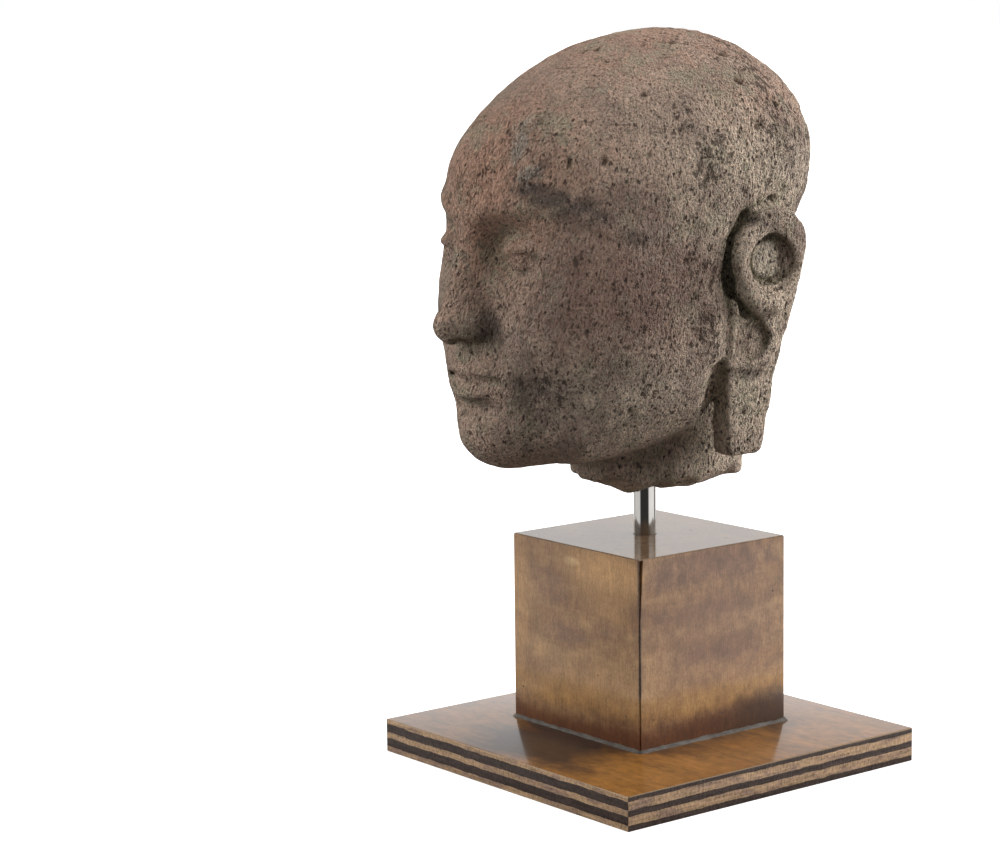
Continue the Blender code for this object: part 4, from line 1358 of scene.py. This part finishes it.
@dataclass
class StoneHead:
    """The carved head with its broken neck, drilled for the rod.

    Attributes:
        height: From the chin's underside to the crown.
        turn_degrees: How far the face is turned to the head's right.
        ahead: How far the head's middle stands in front of the rod.
        break_level: The lowest point of the neck, in hundredths of the height.
        rod_shown: Length of rod between the box and the neck.
        step: Distance between mesh points, in hundredths of the height.
        skin: How much the form is drawn in all over, so that its relief stays inside the solid's box.
        low: The lowest corner of the space that it is carved in.
        high: The highest corner of that space.
        pores: The wide pores and the fine ones.
    """

    height: float = 0.221
    turn_degrees: float = 6.0
    ahead: float = 0.011
    break_level: float = -10.4
    rod_shown: float = 0.025
    step: float = 0.70
    quick_step: float = 1.2
    skin: float = 0.20
    low: Scale = (-46.0, -60.0, -16.0)
    high: Scale = (46.0, 52.0, 104.0)
    pores: tuple[Pores, Pores] = (Pores(4.4, 0.9, 2.1, 1.3, 21), Pores(2.4, 0.5, 0.95, 1.6, 22))

    def place(self) -> Matrix:
        """From the head's axes to the model's."""
        low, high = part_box("mount_rod")
        turn = Matrix.Rotation(-math.radians(self.turn_degrees), 4, "Z")
        ahead = turn @ Vector((0.0, -self.ahead, 0.0))
        unit = self.height / 100.0
        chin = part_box("box_top")[1].z + self.rod_shown - self.break_level * unit
        middle = Vector(((low.x + high.x) / 2, (low.y + high.y) / 2, chin)) + ahead
        return Matrix.Translation(middle) @ turn @ Matrix.Scale(unit, 4)

    def carving(self) -> Carving:
        """The carving, with the hole where the rod stands."""
        low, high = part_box("mount_rod")
        unit = self.height / 100.0
        chin = self.place().translation.z
        radius = ((high.x - low.x) / 2 + CLEARANCE) / unit
        return Carving(self.break_level, self.ahead / unit, radius, (high.z + CLEARANCE - chin) / unit)

    def closeness(self, form: Field, points: Array, normals: Array) -> Array:
        """How shut in each point is by the stone round it, 0 to 1."""
        total = np.zeros(len(points))
        for reach in (1.5, 3.5, 7.0):
            total += np.clip(1.0 - form(points + reach * normals) / reach, 0.0, 1.0)
        return np.clip(total / 2.2, 0.0, 1.0)

    def paint(self, points: Array, kind: str) -> Array:
        """How strongly the patches of one kind cover each point."""
        broad = [3.5 * lattice_noise(points, 9.0, seed) for seed in (51, 52, 53)]
        fine = [1.6 * lattice_noise(points, 4.0, seed) for seed in (56, 57, 58)]
        shift = np.stack(broad, axis=1) + np.stack(fine, axis=1)
        total = np.zeros(len(points))
        for patch in PATCHES:
            if patch.kind == kind:
                moved = points + patch.fray * shift
                near = np.linalg.norm((moved - patch.centre) / patch.radii, axis=1)
                total = np.maximum(total, patch.strength * (1.0 - rising(near, 0.1, 1.6)))
        return total

    def openings(self, parts: Regions) -> tuple[Array, Array]:
        """How far into a wide pore, and into a fine one, each point lies."""
        share = 0.05 + 0.16 * parts.side + 0.45 * parts.back + 0.35 * parts.crown - 0.05 * parts.forehead
        share += 0.16 * lattice_noise(parts.points, 18.0, 32)
        share *= 1.0 - 0.85 * parts.ear
        wide, fine = self.pores
        wide_share = share * np.maximum(parts.back, parts.crown)
        return wide.openness(parts.points, wide_share), fine.openness(parts.points, share)

    def relief(self, parts: Regions, wide: Array, fine: Array) -> Array:
        """How far each point is sunk by its pores and by the stone's grit."""
        depth = (1.6 * wide + 0.65 * fine) * (1.0 - 0.75 * parts.face)
        grit = 0.14 * lattice_noise(parts.points, 1.7, 33) + 0.13 * lattice_noise(parts.points, 3.4, 34)
        grit *= 0.6 + 0.8 * parts.back + 0.3 * parts.side + 0.6 * parts.ear
        return (depth + np.maximum(grit, 0.04 - self.skin)) * (1.0 - parts.near_hole)

    def weathering_and_painted_light(self, parts: Regions, wide: Array, fine: Array) -> dict[str, Array]:
        """What the parts give the finish: each point's values, by name, painted light and shade among them.
        """
        high = 1.0 - 0.7 * rising(parts.z, 70.0, 92.0)
        low_side = rising(parts.out, 16.0, 26.0) * (1.0 - rising(parts.z, 18.0, 28.0))
        crags = [1.1 * parts.back, parts.crown, parts.before_ear, 0.8 * parts.jaw, 0.5 * parts.side]
        craggy = np.maximum.reduce(crags) + 0.45 * lattice_noise(parts.points, 9.0, 35)
        # Painted light on the floor of the ear hollow and, faintly, on the whole ear.
        lit_ear_floor = parts.ear_floor * (1.0 - rising(parts.y, 16.8, 17.6))
        worn = 0.35 * rising(parts.z, 64.0, 86.0) * (1.0 - 0.8 * parts.back)
        return {
            "painted_ear_light": np.maximum(lit_ear_floor, 0.15 * parts.ear),
            # Partly painted light: the back and the lower sides made lighter.
            "ochre_and_painted_light": np.maximum(rising(parts.y, -26.0, 6.0), low_side) * high,
            "craggy": np.clip(craggy, 0.0, 1.4) * (1.0 - 0.8 * parts.ear) * (1.0 - parts.near_hole),
            # Painted shade inside the modelled pores.
            "open": np.clip(np.maximum(wide, 0.8 * fine), 0.0, 1.0) * (1.0 - parts.near_hole),
            "rough": 1.0 + 0.35 * parts.side * rising(parts.y, -4.0, 14.0) - worn,
            "bedding": rising(parts.z, 66.0, 78.0) * (1.0 - parts.back),
        }

    def build(self, stone: bpy.types.Material) -> bpy.types.Object:
        """Carves the head.

        Args:
            stone: Its finish.

        Returns:
            The finished piece.
        """
        carving = self.carving()

        def form(p: Array) -> Array:
            """The carving, drawn in by the skin."""
            return carving.distance(p) + self.skin

        step = self.step
        points, quads = surface_net(form, np.array(self.low), np.array(self.high), step)
        points = settled(form, points, 2)
        log.info("carved %d points", len(points))
        slope = slopes(form, points)
        normals = slope / np.maximum(np.linalg.norm(slope, axis=1, keepdims=True), 0.3)
        parts = Regions(carving, points)
        wide, fine = self.openings(parts)
        points = points - normals * self.relief(parts, wide, fine)[:, None]
        attributes = self.weathering_and_painted_light(parts, wide, fine)
        attributes["hollow"] = self.closeness(form, points, normals)
        for kind in ("warm", "pale", "painted_cheek_shade", "stain"):
            attributes[kind] = self.paint(points, kind)
        place = np.array(self.place())
        points = np.clip(points @ place[:3, :3].T + place[:3, 3], CAD_LOW, CAD_HIGH)
        head = meshed("carved_head", points.tolist(), quads.tolist())
        for name, values in attributes.items():
            stored = head.data.attributes.new(name, "FLOAT", "POINT")
            stored.data.foreach_set("value", values.astype(np.float32))
        head.data.shade_smooth()
        return hand_over(head, stone, Slot.STONE, "stone_head")


@dataclass
class MountRod:
    """The polished rod that carries the head.

    Attributes:
        chamfer: Width of the chamfer at its ends.
        sides: How many faces it has round it.
    """

    chamfer: float = 0.0006
    sides: int = 96

    def build(self, steel: bpy.types.Material) -> bpy.types.Object:
        """Turns the rod."""
        low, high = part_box("mount_rod")
        bpy.ops.mesh.primitive_cylinder_add(
            vertices=self.sides, radius=(high.x - low.x) / 2, depth=high.z - low.z, location=(low + high) / 2
        )
        rod = settle_in_mesh(bpy.context.active_object, "steel_rod")

        def level(edge: bmesh.types.BMEdge) -> bool:
            """Whether the edge lies flat, as those round the rod's ends do."""
            return abs(edge.verts[0].co.z - edge.verts[1].co.z) < TOUCHING

        bevel_edges(rod, level, self.chamfer, 3)
        shade(rod, 40.0)
        return hand_over(rod, steel, Slot.STEEL, "mount_rod")


# Where the brads sit, in millimetres: along each side from its middle and up from the plate, and on the
# top from its middle to the right and back.
SIDE_BRADS = ((-43.3, 71.4), (42.6, 72.5), (41.5, 20.0), (5.8, 12.0), (-42.5, 16.4))
FRONT_BRADS = ((38.7, 72.9), (18.4, 35.3), (40.6, 17.7), (34.0, 70.6), (-44.0, 18.0))
TOP_BRADS = (
    (-50.1, 23.0),
    (28.8, 46.5),
    (36.9, 22.5),
    (8.0, 23.7),
    (19.9, -39.4),
    (-49.1, -25.7),
    (-18.7, -29.6),
)


@dataclass
class MitredBox:
    """The box of five mitred boards, with its brads and the bead of filler round its foot.

    Attributes:
        board: Thickness of the boards.
        arris: Rounding of the outer edges.
        bead: Height and width of the filler bead.
        bead_steps: How many pieces each side of the bead is laid in.
        bead_root: How far the bead reaches in under the box.
        brad_radius: Radius of the largest brad head.
        brad_depth: Thickness of the brad heads.
        brad_sink: How far a head's middle lies under the board's face.
    """

    board: float = 0.018
    arris: float = 0.0008
    bead: float = 0.0021
    bead_steps: int = 60
    bead_root: float = 0.0004
    brad_radius: float = 0.0006
    brad_depth: float = 0.0004
    brad_sink: float = 0.00016

    def corners(self) -> tuple[Vector, Vector]:
        """Lowest and highest corner of the whole box."""
        return (
            Vector((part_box("box_left")[0].x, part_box("box_front")[0].y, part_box("box_front")[0].z)),
            Vector((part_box("box_right")[1].x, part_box("box_back")[1].y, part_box("box_top")[1].z)),
        )

    def side_boards(self, wood: bpy.types.Material) -> None:
        """Makes the front board, turns its copies round the box and opens the seam at the near corner."""
        low, high = self.corners()
        middle = (low + high) / 2
        front = block("box_front_board", low, Vector((high.x, low.y + self.board, high.z)))
        near, far = Vector((high.x, low.y, high.z)), Vector((low.x, low.y, high.z))
        trim(front, [(near, RIGHT - AHEAD), (far, -RIGHT - AHEAD), (near, UP - AHEAD)])

        def outer(edge: bmesh.types.BMEdge) -> bool:
            """Whether the edge is a free one of the board's face."""
            ends = [vert.co for vert in edge.verts]
            in_face = all(abs(end.y - low.y) < TOUCHING for end in ends)
            return in_face and max(end.z for end in ends) > low.z + TOUCHING

        bevel_edges(front, outer, self.arris, 3)
        centre = Matrix.Translation((middle.x, middle.y, 0.0))
        for quarter_turns, side in enumerate(("front", "right", "back", "left")):
            board = front
            if quarter_turns:
                board = front.copy()
                board.data = front.data.copy()
                board.name = board.data.name = f"box_{side}_board"
                turn = Matrix.Rotation(quarter_turns * math.pi / 2, 4, "Z")
                board.data.transform(centre @ turn @ centre.inverted())
                bpy.context.scene.collection.objects.link(board)
        opened = bpy.data.objects["box_right_board"]
        for level, back, slope in ((high.z, 0.0026, 0.060), (low.z, 0.0007, -0.003)):
            trim(opened, [(Vector((high.x, low.y + back, level)), Vector((-0.12, -1.0, slope)))])
        for side in ("front", "right", "back", "left"):
            board = bpy.data.objects[f"box_{side}_board"]
            shade(board, 20.0)
            hand_over(board, wood, Slot.BOX, "box_" + side)

    def top_board(self, wood: bpy.types.Material) -> None:
        """Makes the top, drilled for the rod."""
        low, high = self.corners()
        top = block("box_top_board", Vector((low.x, low.y, high.z - self.board)), high)
        opposite = Vector((low.x, low.y, high.z))
        trim(top, [(high, RIGHT - UP), (high, -AHEAD - UP), (opposite, -RIGHT - UP), (opposite, AHEAD - UP)])

        def upper(edge: bmesh.types.BMEdge) -> bool:
            """Whether the edge bounds the top face."""
            return all(abs(vert.co.z - high.z) < TOUCHING for vert in edge.verts)

        bevel_edges(top, upper, self.arris, 3)
        drill(top, high.z - self.board - OVERCUT, high.z + OVERCUT)
        shade(top, 20.0)
        hand_over(top, wood, Slot.BOX, "box_top")

    def footprint(self) -> tuple[Vector, float]:
        """The middle of the box's foot, and how far its sides stand from there."""
        front_low, front_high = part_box("box_front")
        middle = (front_low.x + front_high.x) / 2
        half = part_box("box_right")[1].x - middle
        return Vector((middle, front_low.y + half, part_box("base_plate")[1].z)), half

    def brads(self, dark: bpy.types.Material) -> None:
        """Sets the small dark heads of the brads, level with the boards."""
        middle, half = self.footprint()
        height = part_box("box_top")[1].z - middle.z
        places = []
        for sign in (1, -1):
            for along, up in SIDE_BRADS:
                offset = (sign * half, sign * along / 1000, up / 1000)
                places.append((middle + Vector(offset), Vector((sign, 0, 0))))
        for sign in (-1, 1):
            for along, up in FRONT_BRADS:
                offset = (-sign * along / 1000, sign * half, up / 1000)
                places.append((middle + Vector(offset), Vector((0, sign, 0))))
        for across, back in TOP_BRADS:
            places.append((middle + Vector((across / 1000, back / 1000, height)), UP))
        heads = []
        for number, (place, outward) in enumerate(places):
            bpy.ops.mesh.primitive_cylinder_add(
                vertices=12,
                radius=self.brad_radius * (0.7 + 0.3 * math.sin(2.3 * number)),
                depth=self.brad_depth,
                location=place - outward * self.brad_sink,
                rotation=outward.to_track_quat("Z", "Y").to_euler(),
            )
            heads.append(bpy.context.active_object)
        select_only(*heads)
        bpy.ops.object.join()
        joined = settle_in_mesh(bpy.context.active_object, "brad_heads")
        hand_over(joined, dark, Slot.BOX)

    def bead_section(self, middle: Vector, half: float, across: float, back: float) -> list[Array]:
        """The bead's section at one place round the foot.

        Args:
            middle: The middle of the box's foot.
            half: How far the box's sides stand from it.
            across: The place's share of that to the right, -1 to 1.
            back: Its share to the back, -1 to 1.

        Returns:
            The section's points in order.
        """
        foot = np.array(middle) + half * np.array((across, back, 0.0))
        outward = np.array((across * (abs(across) > 0.9999), back * (abs(back) > 0.9999), 0.0))
        outward /= np.linalg.norm(outward)
        place = foot[None, :] * 1000.0
        wobble = lattice_noise(place, 4.0, 41)[0] + 0.5 * lattice_noise(place, 1.4, 42)[0]
        size = self.bead * (0.78 + 0.18 * wobble)
        inner = foot - outward * self.bead_root
        section = [inner, inner + (0, 0, size)]
        for degrees in np.linspace(90.0, 0.0, 5):
            c, s = math.cos(math.radians(degrees)), math.sin(math.radians(degrees))
            bulge = 0.72 + 0.28 * abs(c * c - s * s)
            section.append(foot + outward * size * 0.9 * c * bulge + np.array((0, 0, size * s * bulge)))
        return section

    def foot_bead(self, filler: bpy.types.Material) -> None:
        """Lays the uneven bead of filler in the corner between the box and the plate."""
        middle, half = self.footprint()
        corners = [(-1, -1), (1, -1), (1, 1), (-1, 1)]
        rings = []
        for (ax, ay), (bx, by) in zip(corners, corners[1:] + corners[:1]):
            for step in range(self.bead_steps):
                share = step / self.bead_steps
                across, back = ax + (bx - ax) * share, ay + (by - ay) * share
                rings.append(self.bead_section(middle, half, across, back))
        points = [tuple(p) for ring in rings for p in ring]
        count = len(rings[0])
        faces = []
        for k in range(len(rings)):
            this, after = k * count, (k + 1) % len(rings) * count
            for j in range(count):
                following = (j + 1) % count
                faces.append((this + j, after + j, after + following, this + following))
        bead = meshed("foot_bead", points, faces)
        begin_edit(bead)
        bpy.ops.mesh.select_all(action="SELECT")
        bpy.ops.mesh.normals_make_consistent(inside=False)
        end_edit()
        shade(bead, 60.0)
        hand_over(bead, filler, Slot.BOX)

    def build(
        self,
        upright: bpy.types.Material,
        level: bpy.types.Material,
        dark: bpy.types.Material,
        filler: bpy.types.Material,
    ) -> None:
        """Builds the box.

        Args:
            upright: Finish of the side boards.
            level: Finish of the top.
            dark: Finish of the brads.
            filler: Finish of the bead.
        """
        self.side_boards(upright)
        self.top_board(level)
        self.brads(dark)
        self.foot_bead(filler)


@dataclass
class BasePlate:
    """The plywood plate under the box.

    Attributes:
        arris: Width of the worn edges.
    """

    arris: float = 0.0004

    def build(self, wood: bpy.types.Material) -> bpy.types.Object:
        """Cuts the plate."""
        low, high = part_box("base_plate")
        plate = block("plywood_plate", low, high)
        bevel_edges(plate, lambda edge: True, self.arris, 3)
        drill(plate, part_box("mount_rod")[0].z - CLEARANCE, high.z + OVERCUT)
        shade(plate, 40.0)
        return hand_over(plate, wood, Slot.PLATE, "base_plate")


# The room


@dataclass
class Studio:
    """White backdrop, soft light from above and behind, and the camera.

    Attributes:
        camera_place: Where the camera stands.
        camera_turn: Its heading, tilt and roll in degrees.
        lens: Its focal length in millimetres.
        sensor: Width of its sensor in millimetres.
        base: Brightness of the room behind the camera.
        left_bank: Brightness of the bank of light left of the object.
        right_bank: Brightness of the one right of it and behind.
        right_bounce: Brightness of the table on that side.
        top_bank: Brightness overhead.
        left_gloss: Brightness of the left bank in reflections.
        right_gloss: Brightness of the right bank in reflections.
        backdrop: Brightness of the backdrop in reflections.
        floor_glow: Light that the floor gives off by itself.
        floor_size: Width of the floor.
        floor_drop: How far the floor lies under the plate.
    """

    camera_place: tuple[float, float, float] = (1.09526, -0.96262, 0.39968)
    camera_turn: tuple[float, float, float] = (51.70, 81.54, -0.74)
    lens: float = 100.26
    sensor: float = 36.0
    base: float = 0.16
    left_bank: float = 3.75
    right_bank: float = 6.3
    right_bounce: float = 1.3
    top_bank: float = 0.70
    left_gloss: float = 1.0
    right_gloss: float = 1.4
    backdrop: float = 1.12
    floor_glow: float = 0.75
    floor_size: float = 60.0
    floor_drop: float = 0.0002

    def camera(self) -> None:
        """Sets up the camera."""
        lens = bpy.data.cameras.new("camera")
        lens.lens, lens.sensor_width = self.lens, self.sensor
        lens.clip_start, lens.clip_end = 0.05, 200.0
        camera = bpy.data.objects.new("camera", lens)
        place = Matrix.Translation(self.camera_place)
        for degrees, axis in zip(self.camera_turn, "ZXZ"):
            place = place @ Matrix.Rotation(math.radians(degrees), 4, axis)
        camera.matrix_world = place
        bpy.context.scene.collection.objects.link(camera)
        bpy.context.scene.camera = camera

    def world(self) -> None:
        """Lights the room: white to the camera, and to all else banks of light at the sides and overhead."""
        world = bpy.data.worlds.new("room")
        world.use_nodes = True
        room = Nodes(world.node_tree)
        seen = world.node_tree.nodes["Background"]
        seen.inputs["Color"].default_value = (1.0, 1.0, 1.0, 1.0)
        where = room.make("ShaderNodeTexCoord", {}, {}, "Generated")
        heading = (0, 0, -math.radians(self.camera_turn[0]))
        turned_round = room.make("ShaderNodeMapping", {}, {"Vector": where, "Rotation": heading})
        across, ahead, up = (turned_round.part(axis) for axis in range(3))
        bearing = across.maths("ARCTAN2", across, 0.0 - ahead)
        left_side = bearing.within(-2.0, -0.98, 0.22)
        right_side = bearing.within(0.78, 1.80, 0.22)
        behind_right = bearing.within(1.22, 2.35, 0.30)
        tall = up.within(0.06, 0.62, 0.12)
        light = left_side * tall * self.left_bank + behind_right * tall * self.right_bank
        light = light + behind_right * up.within(-0.50, 0.0, 0.12) * self.right_bounce
        light = light + up.above(0.45, 0.9) * self.top_bank + self.base
        mirrored = up.within(-0.30, 0.0, 0.06) + up.within(0.30, 0.80, 0.1)
        seen_in_gloss = left_side * mirrored * self.left_gloss + right_side * mirrored * self.right_gloss
        beyond = ahead.above(0.45, 0.8) * up.above(0.75, 0.5)
        seen_in_gloss = seen_in_gloss + beyond * self.backdrop + up.above(0.6, 0.9) * 0.8 + 0.05
        glossy_ray = room.make("ShaderNodeLightPath", {}, {}, "Is Glossy Ray")
        strength = light + (seen_in_gloss - light) * glossy_ray
        lit = room.make("ShaderNodeBackground", {}, {"Strength": strength})
        camera_ray = room.make("ShaderNodeLightPath", {}, {}, "Is Camera Ray")
        white = Signal(room, seen.outputs[0])
        mixed = room.make("ShaderNodeMixShader", {}, {0: camera_ray, 1: lit, 2: white})
        room.tree.links.new(mixed.socket, world.node_tree.nodes["World Output"].inputs["Surface"])
        bpy.context.scene.world = world

    def floor(self) -> None:
        """Lays the white floor."""
        bpy.ops.mesh.primitive_plane_add(size=self.floor_size, location=(0.0, 0.0, -self.floor_drop))
        floor = bpy.context.active_object
        floor.name = "floor"
        white = plain(
            "white_floor",
            (0.9, 0.9, 0.9),
            Roughness=0.6,
            Specular_IOR_Level=0.2,
            Emission_Color=(1.0, 1.0, 1.0, 1.0),
            Emission_Strength=self.floor_glow,
        )
        floor.data.materials.append(white)
        floor.visible_diffuse = floor.visible_glossy = False

    def build(self) -> None:
        """Sets up the room."""
        scene = bpy.context.scene
        scene.view_settings.view_transform = "Standard"
        scene.view_settings.look = "None"
        self.camera()
        self.world()
        self.floor()


def main() -> None:
    """Builds the object and the room round it."""
    logging.basicConfig(level=logging.INFO, format="%(name)s: %(message)s")
    bpy.ops.object.select_all(action="DESELECT")
    Studio().build()
    plate_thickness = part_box("base_plate")[1].z
    BasePlate().build(VarnishedPlywood(plate_thickness).build())
    brad = plain("brad_iron", (0.03, 0.024, 0.02), Roughness=0.5, Metallic=0.4)
    filler = FootFiller().build()
    upright = StainedBoxWood(foot_level=plate_thickness).build()
    level = StainedBoxWood(upright=False).build()
    MitredBox().build(upright, level, brad, filler)
    MountRod().build(PolishedSteel().build())
    StoneHead().build(PorousStone().build())


if __name__ == "__main__":
    main()
